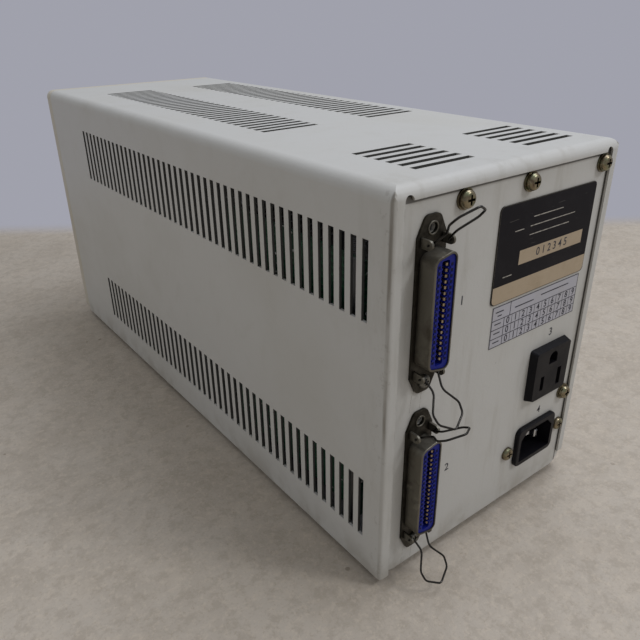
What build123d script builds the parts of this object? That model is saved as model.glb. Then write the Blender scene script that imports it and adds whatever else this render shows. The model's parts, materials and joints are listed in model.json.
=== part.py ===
from build123d import *
import os
from math import cos, radians, sin

# External floppy disk drive: two half-height 5.25 inch drives on edge in a tall steel case, with a
# linear power supply behind them. Millimetres, +Z up. The origin is on the floor, at the middle of the
# case's footprint. The front faces -Y, and the connectors are on the back, at +Y.

# ---- Driving dimensions -------------------------------------------------------------------------
CASE_W = 130.0
CASE_D = 356.0
CASE_H = 168.0
FOOT_H = 4.0            # gap between the floor and the case
SHEET = 1.2             # steel sheet of cover, tray and panel
BEZEL_D = 9.0
FIT = 0.1               # gap between still pieces that fit into each other
RUN = 0.05              # radial clearance of a shaft that turns or slides
THREAD = 0.05           # radial gap of a screw in its threaded hole

# Cover bends and flanges
TOP_BEND = 5.0
REAR_TOP_BEND = 4.5
REAR_SIDE_BEND = 1.8
FLANGE_W = 5.0
FLANGE_TOP = 5.0
RELIEF_R = 2.0
BOTTOM_LIP_W = 9.0
BOTTOM_LIP_STOP = 12.0  # the bottom lips end this far before the back
TRAY_LIP_H = 14.0
CORNER_R = 8.0          # rounded lower corners at the back
TAB_W = 14.0

# Vent slots
SLOT_W = 3.1
SLOT_PITCH = 6.25
SIDE_SLOTS = 45
SIDE_SLOT_FIRST = 13.1  # from the back to the middle of the first side slot
SIDE_BANDS = ((117.5, 31.0), (16.8, 29.8))   # height of the lower end, and length
TOP_SLOT_LEN = 31.0
TOP_SLOT_IN = {1: 39.5, -1: 27.7}             # middle of each column, from its side of the case
TOP_GROUP_FIRST = (16.5, 112.0)              # from the back to each group's first slot
TOP_GROUP_SLOTS = (6, 31)

# Rear panel and its screws
PANEL_GAP = 0.25
PANEL_SIDE_FIT = 0.5
PANEL_RISE = 1.0        # the panel reaches this far above the edge of the cover's top flange
PANEL_SCREW_IN = {1: 34.8, -1: 9.25}          # outer top screws, from their side of the case
PANEL_SCREW_MIDDLE = -6.8
PANEL_SIDE_SCREW = (9.25, 46.4)              # from the -X side, and height over the case's bottom
SIDE_TAB_REACH = 4.0                         # the side tab ends this far past its screw
SCREW_R = 2.0
SCREW_HEAD_R = 3.4
SCREW_HEAD_H = 2.5
SCREW_LEN = 10.0
WASHER_R = 4.0
WASHER_T = 0.8
HOLE_PLAY = 0.2

# Ribbon receptacles with wire bails
RIBBON_IN = 19.0        # middle, from the case's +X side
RIBBON_DOWN = 46.2      # middle of the upper one, from the case's top
RIBBON_SPACING = 78.4
RIBBON_FLANGE = (14.0, 27.3, 34.8)           # width, straight half length, half length
RIBBON_TIP_W = 6.8
RIBBON_FLANGE_T = 1.0
RIBBON_HOLE_Z = 30.0
RIBBON_TOP_HOLE_R = 1.9
SHELL_W = 11.2
SHELL_LONG = 47.6
SHELL_SHORT = 42.6
SHELL_PROUD = 8.3
SHELL_R = 3.2
SHELL_WALL = 0.8
RIBBON_SLOT_W = 3.9
RIBBON_SLOT_LEN = 40.5
RIBBON_SLOT_DEPTH = 6.6
INSULATOR_SINK = 0.5
INSULATOR_BACK = 6.0
CONTACT_PITCH = 2.159
CONTACT_ROW = 18
CONTACT_W = 1.1
CONTACT_T = 0.35
EAR_X = 5.3
EAR_Z = 25.8
EAR_T = 0.9
EAR_W = 3.6
EAR_PIVOT = 4.6         # pivot height over the panel
WIRE_R = 0.42
BAIL_RUN = 0.08
BAIL_WAIST = 2.2
BAIL_SHOULDER = 7.0
BAIL_REACH = 21.5
BAIL_REST = {"upper_top": 46.0, "upper_bottom": 50.0, "lower_top": 30.0, "lower_bottom": 50.0}
SMALL_SCREW_R = 1.5
SMALL_HEAD_R = 2.7
SMALL_HEAD_H = 1.7
SMALL_SCREW_LEN = 8.0
TAP_R = SMALL_SCREW_R + THREAD

# Mains outlet and inlet
OUTLET_IN = 27.6        # from the case's -X side
OUTLET_SHARE = 0.532    # of the way from the inlet's top to the label's lower edge
OUTLET_SIZE = 26.8
OUTLET_PROUD = 3.7
OUTLET_TAPER = 0.9      # the face is this much smaller on each side
OUTLET_CORNER = 1.5
OUTLET_BODY = 23.0
OUTLET_DEPTH = 20.0
BLADE_GAP = 12.7
BLADE_SLOTS = ((1, 2.5, 7.4), (-1, 2.9, 9.2))   # side, width, height
BLADE_DROP = 4.5
GROUND_RISE = 7.4
GROUND_HOLE = 6.0
BLADE_DEPTH = 15.0
CLIP_T = 0.5
CLIP_LEN = 8.0
CLIP_DEPTH = 4.0
INLET_IN = 28.8
INLET_UP = 27.0
INLET_RIM = (29.1, 21.7)
INLET_RIM_R = 3.3
INLET_PROUD = 2.2
INLET_BODY = (27.0, 19.6)
INLET_DEPTH = 17.0
INLET_RECESS = (24.0, 16.4)
INLET_RECESS_CUT = 4.0
INLET_RECESS_DEPTH = 15.0
INLET_SCREWS = 40.0
INLET_EAR_T = 2.5
INLET_EAR_R = 4.5
PIN_SIZE = (2.2, 4.2)
PIN_SPREAD = 7.0
PIN_RISE = 2.0
PIN_SINK = 4.5          # from the rim's face to the pins' tips

# Plates stuck on the rear panel
PLATE_SIZE = (63.0, 40.4)
PLATE_IN = 42.8         # middle, from the case's -X side
PLATE_DOWN = 36.7       # middle, from the case's top
PLATE_T = 0.5
PLATE_R = 2.0
LABEL_SIZE = (59.3, 18.8)
LABEL_IN = 42.35
LABEL_DOWN = 67.6
LABEL_T = 0.2
LABEL_R = 0.5

# Drives on edge
DRIVE_T = 41.3
DRIVE_H = 146.0
DRIVE_D = 202.0
DRIVE_PITCH = 42.2
DRIVE_IN = 4.75         # side of drive b, from the case's -X side
FACE_W = 41.5
FACE_LIP = 1.0          # the faceplate reaches this far past the drive at its top and bottom
FACE_T = 6.0
FACE_SINK = 1.0         # the faceplates sit this far behind the bezel's front
RAIL_T = 3.0
DECK_X = -6.0           # the deck's outer face, from the drive's middle plane
DECK_T = 3.0
DISK_X = 4.0            # plane of the disk, from the drive's middle plane
DISK_SLOT_W = 5.2
DISK_SLOT_END = 6.5     # from the slot's end to the faceplate's
SPINDLE_BACK = 77.0     # spindle behind the faceplate's front
HUB_R = 14.0
HUB_TOP = 3.2
SPINDLE_R = 4.0
ROTOR_R = 34.0
ROTOR_T = 5.5
STATOR_T = 3.6
STATOR_R = 28.0
MOTOR_GAP = 0.4
LEVER_X = 12.0
LEVER_HUB_R = 5.2
LEVER_LEN = 24.0
LEVER_W = 7.0
LEVER_T = 8.0
LEVER_GAP = 0.4
SHAFT_R = 2.0
CAM_REACH = 5.9
CAM_LEAD = 20.0         # the cam is this far past its peak when the lever is open, in degrees
CAM_TIP_R = 1.2
CAM_T = 5.0
ARM_X = 14.6            # inner face of the clamp arm when it is shut
ARM_T = 1.0
ARM_W = 44.0
ARM_FRONT = 32.0        # the arm reaches this far before the spindle
ARM_PIVOT = 58.0        # the arm's hinge is this far behind the spindle
ARM_LIFT = 3.0          # angle that lifts the clamp, in degrees
ARM_PIN_R = 1.4
ARM_BARREL_R = 2.2
CONE_R = 12.0
CONE_T = 4.3
CONE_FACE = 3.7
CONE_STEM_R = 3.0
CONE_COLLAR_R = 4.5
CONE_COLLAR_T = 0.8
CONE_PLAY = 0.3         # end play of the cone's stem in the arm
BRIDGE_D = 4.0
SHELF_IN = 3.0          # the shelf ends this far inside the drives
DRIVE_SCREW_X = 12.0
DRIVE_SCREW_Y = 42.0
ROD_R = 2.0
ROD_Z = 14.0
ROD_X = -0.2
ROD_SEAT = 3.0
POST_D = 4.0
POST_W = 9.0
SCREW_Z = 26.0          # lead screw over the spindle's height
LEAD_R = 3.0
LEAD_X = 1.0
CARRIAGE_REST = 89.0    # the carriage's front face behind the spindle, at the outer track
CARRIAGE_D = 16.0
CARRIAGE_X = (-2.5, 12.0)
CARRIAGE_Z = 18.0
HEAD_REACH = 36.0
HEAD_W = 10.0
STEPPER_R = 17.5
STEPPER_D = 17.0
BOARD_T = 1.6
LOGIC_X = -19.4
LOGIC_POST_R = 3.0
LAMP_R = 2.4
FACE_LAMP = (-12.0, -58.0)                   # from the drive's middle plane and the spindle's height

# Power switch
SWITCH_IN = 20.7        # from the case's +X side
SWITCH_UP = 36.0        # over the case's bottom
SWITCH_FRAME = (15.0, 24.0)
SWITCH_BODY = (12.6, 21.4)
SWITCH_DEPTH = 26.0
SWITCH_PROUD = 1.5
ROCKER = (10.4, 18.4)
ROCKER_GAP = 0.3
ROCKER_END_GAP = 0.6
ROCKER_PIVOT = 2.0      # depth of the rocker's pivot behind the frame's face
ROCKER_PIN_R = 1.2
ROCKER_TILT = 8.0
ROCKER_CAVITY = 8.5
POWER_LAMP_UP = 24.0    # over the middle of the switch

# Supply
CORE_SIZE = (60.0, 28.0, 50.0)
CORE_IN = 42.0          # middle, from the case's -X side
CORE_SHARE = 0.31       # middle, as a share of the room behind the drives
CORE_LEG = 20.0
CORE_YOKE = 10.0
WINDING_OUT = 8.0
SUPPLY_IN = 9.5         # component side of the board, from the case's +X side
SUPPLY_BACK = 11.0      # the board begins this far behind the drives
SUPPLY_D = 114.0
SUPPLY_UP = 16.0        # lower edge over the case's bottom
SUPPLY_H = 120.0
UPSTAND_W = 10.0
CAPACITORS = ((20.0, 25.0, 11.0, 30.0), (48.0, 25.0, 11.0, 30.0), (74.0, 22.0, 8.0, 25.0))
SINK_EDGE = 18.0        # from the board's front edge
SINK_D = 60.0
SINK_H = 30.0
SINK_TOP_EDGE = 2.0
SINK_BASE = 3.0
SINK_FIN_T = 1.6
SINK_FIN_LEN = 20.0
SINK_FINS = 8

# Wiring
RIBBON_T = 1.0
RIBBON_W = 43.0
RIBBON_UP = 56.0        # lower edge of the ribbon over the case's bottom
RIBBON_LANE_IN = 1.9    # the ribbon leaves this far off the receptacles' middle
RIBBON_LANE_BACK = 6.0  # behind the drives
RIBBON_BEND = 10.0
LINK_BOARD_W = 11.0
HARNESS_R = 2.5
HARNESS_LANE_BACK = 15.0
HARNESS_BEND = 11.0
HARNESS_UP = {"a": 36.0, "b": 42.5}          # over the case's bottom
MAINS_R = 2.0
MAINS_BEND = 7.0
SWITCH_LEAD_BEND = 30.0
MAINS_TAP_RISE = 10.0   # between the leads on the transformer
SWITCH_LEAD_DOWN = 24.0  # the switch lead meets the board this far under its top
SWITCH_LEAD_RUN = (40.0, 90.0)               # behind the switch, where the lead starts and ends its climb

# Feet
FOOT_R = 8.0
FOOT_IN_X = 20.0
FOOT_IN_Y = 28.0
FOOT_TAPER = 1.0
CASE_SCREWS_Y = (-140.0, 0.0, 140.0)

# ---- Planes that the pieces share ---------------------------------------------------------------
HALF_W = CASE_W / 2
Y_BACK = CASE_D / 2
Y_FRONT = -CASE_D / 2
Y_COVER = Y_FRONT + BEZEL_D
Z_CASE = FOOT_H
Z_TOP = FOOT_H + CASE_H
Z_TRAY = Z_CASE + 2 * SHEET                  # top face of the tray's floor
Z_FLANGE = Z_TOP - FLANGE_TOP
Y_PANEL = Y_BACK - SHEET - PANEL_GAP         # outer face of the rear panel
Y_PANEL_IN = Y_PANEL - SHEET
Z_PANEL_SCREWS = Z_FLANGE - WASHER_R - PANEL_GAP
PANEL_SCREWS_X = (HALF_W - PANEL_SCREW_IN[1], PANEL_SCREW_MIDDLE, PANEL_SCREW_IN[-1] - HALF_W)
RIBBON_X = HALF_W - RIBBON_IN
RIBBON_Z = {"upper": Z_TOP - RIBBON_DOWN, "lower": Z_TOP - RIBBON_DOWN - RIBBON_SPACING}
INLET_AT = (INLET_IN - HALF_W, Z_CASE + INLET_UP)
Z_INLET_TOP = INLET_AT[1] + INLET_RIM[1] / 2
Z_LABEL_LOW = Z_TOP - LABEL_DOWN - LABEL_SIZE[1] / 2
OUTLET_AT = (OUTLET_IN - HALF_W, Z_INLET_TOP + OUTLET_SHARE * (Z_LABEL_LOW - Z_INLET_TOP))
SWITCH_AT = (HALF_W - SWITCH_IN, Z_CASE + SWITCH_UP)
Z_DRIVE = Z_CASE + CASE_H / 2                # the spindles' height
Y_FACE = Y_FRONT + FACE_SINK
Y_CHASSIS = Y_FACE + FACE_T
Y_CHASSIS_END = Y_CHASSIS + DRIVE_D
Y_SPINDLE = Y_FACE + SPINDLE_BACK
Z_RAIL = Z_DRIVE - DRIVE_H / 2               # underside of the drives
X_DRIVE_B = DRIVE_IN - HALF_W + DRIVE_T / 2
DRIVES_X = {"a": X_DRIVE_B + DRIVE_PITCH, "b": X_DRIVE_B}
FACE_H = DRIVE_H + 2 * FACE_LIP
DISK_SLOT_H = FACE_H - 2 * DISK_SLOT_END
Y_CARRIAGE = Y_SPINDLE + CARRIAGE_REST
Y_STEPPER = Y_CHASSIS_END - STEPPER_D        # front face of the stepper motor
Y_ROD_FRONT = Y_SPINDLE + ARM_PIVOT + 6.0
SUPPLY_X = HALF_W - SUPPLY_IN
SUPPLY_Y = (Y_CHASSIS_END + SUPPLY_BACK, Y_CHASSIS_END + SUPPLY_BACK + SUPPLY_D)
Z_SUPPLY = (Z_CASE + SUPPLY_UP, Z_CASE + SUPPLY_UP + SUPPLY_H)
CORE_AT = (CORE_IN - HALF_W, Y_CHASSIS_END + CORE_SHARE * (Y_PANEL_IN - Y_CHASSIS_END))


# ---- Helpers ------------------------------------------------------------------------------------
def block(x, y, z):
    """A box between two values along each axis."""
    size = [max(pair) - min(pair) for pair in (x, y, z)]
    middle = [(pair[0] + pair[1]) / 2 for pair in (x, y, z)]
    return Pos(*middle) * Box(*size)


def slab_x(sketch, x0, x1):
    """A sketch of Y and Z, made thick from x0 to x1."""
    return extrude(Plane.YZ.offset(x0) * sketch, amount=x1 - x0)


def slab_y(sketch, y0, y1):
    """A sketch of X and Z, made thick from y0 to y1."""
    return extrude(Plane.XZ.offset(-y1) * sketch, amount=y1 - y0)


def slab_z(sketch, z0, z1):
    """A sketch of X and Y, made thick from z0 to z1."""
    return extrude(Plane.XY.offset(z0) * sketch, amount=z1 - z0)


def rod_x(r, x0, x1, y, z):
    return slab_x(Pos(y, z) * Circle(r), x0, x1)


def rod_y(r, y0, y1, x, z):
    return slab_y(Pos(x, z) * Circle(r), y0, y1)


def rod_z(r, z0, z1, x, y):
    return slab_z(Pos(x, y) * Circle(r), z0, z1)


def rect(w, h, at=(0, 0), r=0.0):
    """A rectangle, with round corners where r is given."""
    shape = RectangleRounded(w, h, r) if r else Rectangle(w, h)
    return Pos(*at) * shape


def span(middle, size):
    return (middle - size / 2, middle + size / 2)


def screw(head_r, head_h, shank_r, length):
    """A cross-recess pan-head screw along Z, its head's seat at zero and its shank below."""
    head = Pos(0, 0, head_h / 2) * Cylinder(head_r, head_h)
    head = fillet(head.edges().group_by(Axis.Z)[-1], head_h * 0.7)
    shank = Pos(0, 0, -length / 2) * Cylinder(shank_r, length)
    arm = head_r * 1.1
    recess = Box(arm, arm / 4, head_h) + Box(arm / 4, arm, head_h)
    return head + shank - Pos(0, 0, head_h) * recess


def facing_back(shape, x, y, z):
    """Turns a shape's +Z to the back, +Y."""
    return Pos(x, y, z) * Rot(-90, 0, 0) * shape


def facing_down(shape, x, y, z):
    return Pos(x, y, z) * Rot(180, 0, 0) * shape


def wire(points, radii, r):
    """A round wire or bundle along straight runs joined by tangent arcs."""
    path = FilletPolyline(*points, radius=radii)
    section = Plane(origin=path @ 0, z_dir=path % 0) * Circle(r)
    return sweep(section, path=path)


def strip(points, bend, t, z0, z1):
    """A flat cable on edge, along a bent line in X and Y."""
    line = FilletPolyline(*points, radius=bend)
    return slab_z(trace(line, t), z0, z1)


def group(shapes):
    """Separate solids that share a node."""
    solids = []
    for shape in shapes:
        solids.extend(shape.solids())
    return Compound(children=solids)


# ---- Casing -------------------------------------------------------------------------------------
def cover_body(inset):
    """The cover's outside, or with an inset its inside, as three profiles that cross."""
    x = HALF_W - inset
    back = Y_BACK - inset
    front = Y_COVER - inset
    low = Z_CASE + inset
    high = Z_TOP - inset
    across = rect(2 * x, high - low, (0, (high + low) / 2))
    across = fillet(across.vertices().sort_by(Axis.Y)[-2:], TOP_BEND - inset)
    along = rect(back - front, high - low, ((back + front) / 2, (high + low) / 2))
    corner = along.vertices().sort_by(Axis.Y)[-2:].sort_by(Axis.X)[-1:]
    along = fillet(corner, REAR_TOP_BEND - inset)
    plan = rect(2 * x, back - front, (0, (back + front) / 2))
    plan = fillet(plan.vertices().sort_by(Axis.Y)[-2:], REAR_SIDE_BEND - inset)
    body = slab_y(across, front, back) & slab_x(along, -x, x)
    return body & slab_z(plan, low, high)


def vent_slots():
    """Cutters of all vents: upright slots in the sides, cross slots in the top."""
    cutters = []
    for side in (-1, 1):
        wall = (side * (HALF_W - 2 * SHEET), side * (HALF_W + SHEET))
        for low, length in SIDE_BANDS:
            for i in range(SIDE_SLOTS):
                y = Y_BACK - SIDE_SLOT_FIRST - i * SLOT_PITCH
                z = Z_CASE + low
                cutters.append(block(wall, span(y, SLOT_W), (z, z + length)))
    roof = (Z_TOP - 2 * SHEET, Z_TOP + SHEET)
    for side, inward in TOP_SLOT_IN.items():
        x = side * (HALF_W - inward)
        for first, count in zip(TOP_GROUP_FIRST, TOP_GROUP_SLOTS):
            for i in range(count):
                y = Y_BACK - first - i * SLOT_PITCH
                cutters.append(block(span(x, TOP_SLOT_LEN), span(y, SLOT_W), roof))
    return cutters


def make_cover():
    shell = cover_body(0) - cover_body(SHEET)
    inner = HALF_W - FLANGE_W
    wall = (Y_BACK - 2 * SHEET, Y_BACK + SHEET)
    opening = block((-inner, inner), wall, (Z_CASE - SHEET, Z_FLANGE))
    reliefs = [rod_y(RELIEF_R, *wall, side * (inner - RELIEF_R), Z_FLANGE) for side in (-1, 1)]
    lip = HALF_W - BOTTOM_LIP_W
    under = block((-lip, lip), (Y_COVER - SHEET, Y_BACK), (Z_CASE - SHEET, Z_CASE + SHEET))
    stop = HALF_W - SHEET
    lip_end = block(
        (-stop, stop), (Y_BACK - BOTTOM_LIP_STOP, Y_BACK - SHEET), (Z_CASE - SHEET, Z_CASE + SHEET)
    )
    corner = block(
        (-HALF_W - SHEET, -inner), (Y_BACK - CORNER_R, Y_BACK + SHEET), (Z_CASE - SHEET, Z_CASE + CORNER_R)
    )
    rounding = rod_x(
        CORNER_R, -HALF_W - SHEET, -stop + SHEET, Y_BACK - REAR_SIDE_BEND - CORNER_R, Z_CASE + CORNER_R
    )
    lip_holes = [
        rod_z(SMALL_SCREW_R + HOLE_PLAY, Z_CASE - SHEET, Z_TRAY, x, y) for x, y in case_screw_places()
    ]
    shell = shell - [opening, under, lip_end, corner - rounding] - reliefs - lip_holes
    for x in PANEL_SCREWS_X:
        shell += block(span(x, TAB_W), (Y_PANEL_IN - SHEET, Y_PANEL_IN), (Z_PANEL_SCREWS - 6, Z_TOP - SHEET))
    side_x, side_z = panel_screw_places()[-1]
    side_tab = (-stop - SHEET / 2, side_x + SIDE_TAB_REACH)
    shell += block(side_tab, (Y_PANEL_IN - SHEET, Y_PANEL_IN), span(side_z, TAB_W))
    tab_y = (Y_PANEL_IN - 2 * SHEET, Y_PANEL_IN + SHEET)
    threads = [rod_y(SCREW_R + THREAD, *tab_y, x, z) for x, z in panel_screw_places()]
    return shell - threads - vent_slots()


def case_screw_places():
    """X and Y of the screws that hold the tray on the cover's bottom lips."""
    x = HALF_W - BOTTOM_LIP_W / 2
    return [(side * x, y) for side in (-1, 1) for y in CASE_SCREWS_Y]


def panel_screw_places():
    places = [(x, Z_PANEL_SCREWS) for x in PANEL_SCREWS_X]
    inward, height = PANEL_SIDE_SCREW
    places.append((inward - HALF_W, Z_CASE + height))
    return places


def make_base_tray():
    """Floor, side lips, a welded shelf for the drives, and two upstands for the supply board."""
    x = HALF_W - SHEET - FIT
    front = Y_COVER + SHEET
    floor = block((-x, x), (front, Y_PANEL_IN), (Z_TRAY - SHEET, Z_TRAY))
    back_lip = Y_BACK - BOTTOM_LIP_STOP
    tray = floor
    for side in (-1, 1):
        tray += block((side * (x - SHEET), side * x), (front, back_lip), (Z_TRAY - SHEET, Z_TRAY + TRAY_LIP_H))
    half_drive = DRIVE_T / 2 - SHELF_IN
    shelf_x = (DRIVES_X["b"] - half_drive, DRIVES_X["a"] + half_drive)
    shelf_y = (Y_CHASSIS + 10, Y_CHASSIS_END - 10)
    shelf = block(shelf_x, shelf_y, (Z_TRAY, Z_RAIL))
    hollow = block((shelf_x[0] + SHEET, shelf_x[1] - SHEET), shelf_y, (Z_TRAY, Z_RAIL - SHEET))
    tray += shelf - hollow
    for y in SUPPLY_Y:
        inward = UPSTAND_W if y == SUPPLY_Y[0] else -UPSTAND_W
        board_back = SUPPLY_X + BOARD_T
        tray += block((board_back, board_back + SHEET), (y, y + inward), (Z_TRAY, Z_SUPPLY[1]))
    holes = [rod_z(TAP_R, Z_CASE, Z_TRAY + SHEET, *place) for place in case_screw_places()]
    for place in drive_screw_places():
        holes.append(rod_z(TAP_R, Z_RAIL - 2 * SHEET, Z_RAIL + SHEET, *place))
        holes.append(rod_z(SMALL_HEAD_R + 1, Z_CASE, Z_TRAY + SHEET, *place))
    return tray - holes


def drive_screw_places():
    places = []
    for x in DRIVES_X.values():
        for y in (Y_CHASSIS + DRIVE_SCREW_Y, Y_CHASSIS_END - DRIVE_SCREW_Y):
            places.extend([(x - DRIVE_SCREW_X, y), (x + DRIVE_SCREW_X, y)])
    return places


def make_rear_panel():
    """Upright plate behind the cover's flanges, with a lip that stands on the tray."""
    x = HALF_W - SHEET - PANEL_SIDE_FIT
    low = Z_CASE + PANEL_GAP
    high = Z_FLANGE + PANEL_RISE
    outline = rect(2 * x, high - low, (0, (high + low) / 2))
    outline = fillet(outline.vertices().sort_by(Axis.Y)[:2], CORNER_R)
    panel = slab_y(outline, Y_PANEL_IN, Y_PANEL)
    panel += block((-45, 45), (Y_PANEL_IN - 9, Y_PANEL_IN), (Z_TRAY, Z_TRAY + SHEET))
    cuts = [Pos(px, pz) * Circle(SCREW_R + HOLE_PLAY) for px, pz in panel_screw_places()]
    for which in RIBBON_Z:
        z = RIBBON_Z[which]
        cuts.append(rect(SHELL_W + 1.4, SHELL_LONG + 2.6, (RIBBON_X, z)))
        cuts.append(Pos(RIBBON_X, z + RIBBON_HOLE_Z) * Circle(RIBBON_TOP_HOLE_R))
        cuts.append(Pos(RIBBON_X, z - RIBBON_HOLE_Z) * Circle(TAP_R))
    ox, oz = OUTLET_AT
    cuts.append(rect(OUTLET_BODY + 2 * FIT, OUTLET_BODY + 2 * FIT, (ox, oz)))
    ix, iz = INLET_AT
    cuts.append(rect(INLET_BODY[0] + 2 * FIT, INLET_BODY[1] + 2 * FIT, (ix, iz)))
    for side in (-1, 1):
        cuts.append(Pos(ix + side * INLET_SCREWS / 2, iz) * Circle(SMALL_SCREW_R + HOLE_PLAY))
    return panel - [slab_y(cut, Y_PANEL_IN - SHEET, Y_PANEL + SHEET) for cut in cuts]


def bezel_opening():
    """Low and high X and Z of the bezel's window for the two faceplates."""
    x = (DRIVES_X["b"] - FACE_W / 2 - 2 * FIT, DRIVES_X["a"] + FACE_W / 2 + 2 * FIT)
    return x, span(Z_DRIVE, FACE_H + 4 * FIT)


def make_front_bezel():
    """Moulded frame with a window for the drives and a column for switch and lamp."""
    outline = rect(CASE_W, CASE_H, (0, Z_CASE + CASE_H / 2), TOP_BEND)
    body = slab_y(outline, Y_FRONT, Y_COVER)
    body = fillet(body.edges().group_by(Axis.Y)[0], 2.0)
    plug_w = CASE_W - 2 * SHEET - 4 * FIT
    plug_low = Z_TRAY + 2 * FIT
    plug_h = Z_TOP - SHEET - 2 * FIT - plug_low
    plug_z = plug_low + plug_h / 2
    plug = slab_y(rect(plug_w, plug_h, (0, plug_z), TOP_BEND - SHEET), Y_COVER, Y_COVER + SHEET - FIT)
    wall = 2.0
    plug_hole = rect(plug_w - 2 * wall, plug_h - 2 * wall, (0, plug_z), wall)
    body += plug - slab_y(plug_hole, Y_COVER, Y_COVER + SHEET)
    (x0, x1), (z0, z1) = bezel_opening()
    window = block((x0, x1), (Y_FRONT - 1, Y_COVER + 10), (z0, z1))
    pocket = block((x1 + 3, HALF_W - 4), (Y_FRONT + 3, Y_COVER + 10), (z0, z1))
    sx, sz = SWITCH_AT
    switch_hole = slab_y(
        rect(SWITCH_BODY[0] + 2 * FIT, SWITCH_BODY[1] + 2 * FIT, (sx, sz)), Y_FRONT - 1, Y_COVER
    )
    lamp_hole = rod_y(LAMP_R + FIT, Y_FRONT - 1, Y_COVER, sx, SWITCH_AT[1] + POWER_LAMP_UP)
    return body - [window, pocket, switch_hole, lamp_hole]


def make_rubber_feet():
    feet = []
    for sx in (-1, 1):
        for sy in (-1, 1):
            x = sx * (HALF_W - FOOT_IN_X)
            y = sy * (Y_BACK - FOOT_IN_Y)
            height = Z_TRAY - SHEET
            foot = rod_z(FOOT_R, 0, height, x, y)
            foot = chamfer(foot.edges().group_by(Axis.Z)[0], FOOT_TAPER)
            feet.append(foot)
    return group(feet)


def make_panel_screws():
    one = screw(SCREW_HEAD_R, SCREW_HEAD_H, SCREW_R, SCREW_LEN)
    return group([facing_back(one, x, Y_PANEL + WASHER_T, z) for x, z in panel_screw_places()])


def make_panel_washers():
    ring = Circle(WASHER_R) - Circle(SCREW_R + HOLE_PLAY)
    return group([slab_y(Pos(x, z) * ring, Y_PANEL, Y_PANEL + WASHER_T) for x, z in panel_screw_places()])


def make_cover_screws():
    one = screw(SMALL_HEAD_R, SMALL_HEAD_H, SMALL_SCREW_R, SMALL_SCREW_LEN)
    return group([facing_down(one, x, y, Z_CASE) for x, y in case_screw_places()])


def make_drive_screws():
    one = screw(SMALL_HEAD_R, SMALL_HEAD_H, SMALL_SCREW_R, SHEET + RAIL_T)
    return group([facing_down(one, x, y, Z_RAIL - SHEET) for x, y in drive_screw_places()])


# ---- Ribbon receptacles -------------------------------------------------------------------------
def shell_outline(inset, z):
    """The D outline of a receptacle, its short side towards +X."""
    w = SHELL_W / 2
    long_half = SHELL_LONG / 2
    short_half = SHELL_SHORT / 2
    corners = [(-w, -long_half), (w, -short_half), (w, short_half), (-w, long_half)]
    outline = make_face(Polyline(*corners, close=True))
    outline = fillet(outline.vertices(), SHELL_R)
    if inset:
        outline = offset(outline, amount=-inset)
    return Pos(RIBBON_X, z) * outline


def make_connector_shell(which):
    """Nickel-plated steel: flange, D shell and four ears that carry the bails."""
    z = RIBBON_Z[which]
    width, straight, reach = RIBBON_FLANGE
    half = width / 2
    tip = RIBBON_TIP_W / 2
    corners = [(half, straight), (tip, reach), (-tip, reach), (-half, straight)]
    corners += [(-half, -straight), (-tip, -reach), (tip, -reach), (half, -straight)]
    outline = make_face(Polyline(*corners, close=True))
    ends = [v for v in outline.vertices() if abs(v.Y) > straight + 1]
    outline = fillet(ends, tip * 0.8)
    flange = slab_y(Pos(RIBBON_X, z) * outline, Y_PANEL, Y_PANEL + RIBBON_FLANGE_T)
    skirt = slab_y(shell_outline(0, z), Y_PANEL + RIBBON_FLANGE_T, Y_PANEL + SHELL_PROUD)
    skirt = fillet(skirt.edges().group_by(Axis.Y)[-1], SHELL_WALL / 2)
    shell = flange + skirt
    shell -= slab_y(shell_outline(SHELL_WALL, z), Y_PANEL - SHEET, Y_PANEL + SHELL_PROUD + SHEET)
    for end in (-1, 1):
        for side in (-1, 1):
            shell += ear(RIBBON_X + side * EAR_X, z + end * EAR_Z)
    shell -= rod_y(RIBBON_TOP_HOLE_R, Y_PANEL - 1, Y_PANEL + 3, RIBBON_X, z + RIBBON_HOLE_Z)
    shell -= rod_y(TAP_R, Y_PANEL - 1, Y_PANEL + 3, RIBBON_X, z - RIBBON_HOLE_Z)
    return shell


def ear(x, z):
    """One upright ear with a round top and a pivot hole."""
    y = Y_PANEL + EAR_PIVOT
    foot = Y_PANEL + RIBBON_FLANGE_T
    half = EAR_W / 2
    post = block(span(x, EAR_T), (foot, y), (z - half, z + half))
    head = rod_x(half, x - EAR_T / 2, x + EAR_T / 2, y, z)
    return post + head - rod_x(WIRE_R + BAIL_RUN, x - EAR_T, x + EAR_T, y, z)


def make_connector_insulator(which):
    """Blue moulding inside the shell, with a slot between its two rows of contacts."""
    z = RIBBON_Z[which]
    front = Y_PANEL + SHELL_PROUD - INSULATOR_SINK
    nose = slab_y(shell_outline(SHELL_WALL + FIT, z), Y_PANEL_IN, front)
    back = slab_y(rect(SHELL_W + 1, SHELL_LONG + 2, (RIBBON_X, z)), Y_PANEL_IN - INSULATOR_BACK, Y_PANEL)
    slot = rect(RIBBON_SLOT_W, RIBBON_SLOT_LEN, (RIBBON_X, z), 0.8)
    slot = slab_y(slot, front - RIBBON_SLOT_DEPTH, front + 1)
    return nose + back - slot


def make_ribbon_contacts():
    """Gold spring strips on both walls of each receptacle's slot."""
    front = Y_PANEL + SHELL_PROUD - INSULATOR_SINK
    strips = []
    for which in RIBBON_Z:
        middle = RIBBON_Z[which]
        for side in (-1, 1):
            wall = RIBBON_X + side * RIBBON_SLOT_W / 2
            for i in range(CONTACT_ROW):
                z = middle + (i - (CONTACT_ROW - 1) / 2) * CONTACT_PITCH
                x = (wall - side * CONTACT_T, wall)
                strips.append(block(x, (front - RIBBON_SLOT_DEPTH, front - 0.6), span(z, CONTACT_W)))
    return group(strips)


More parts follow.
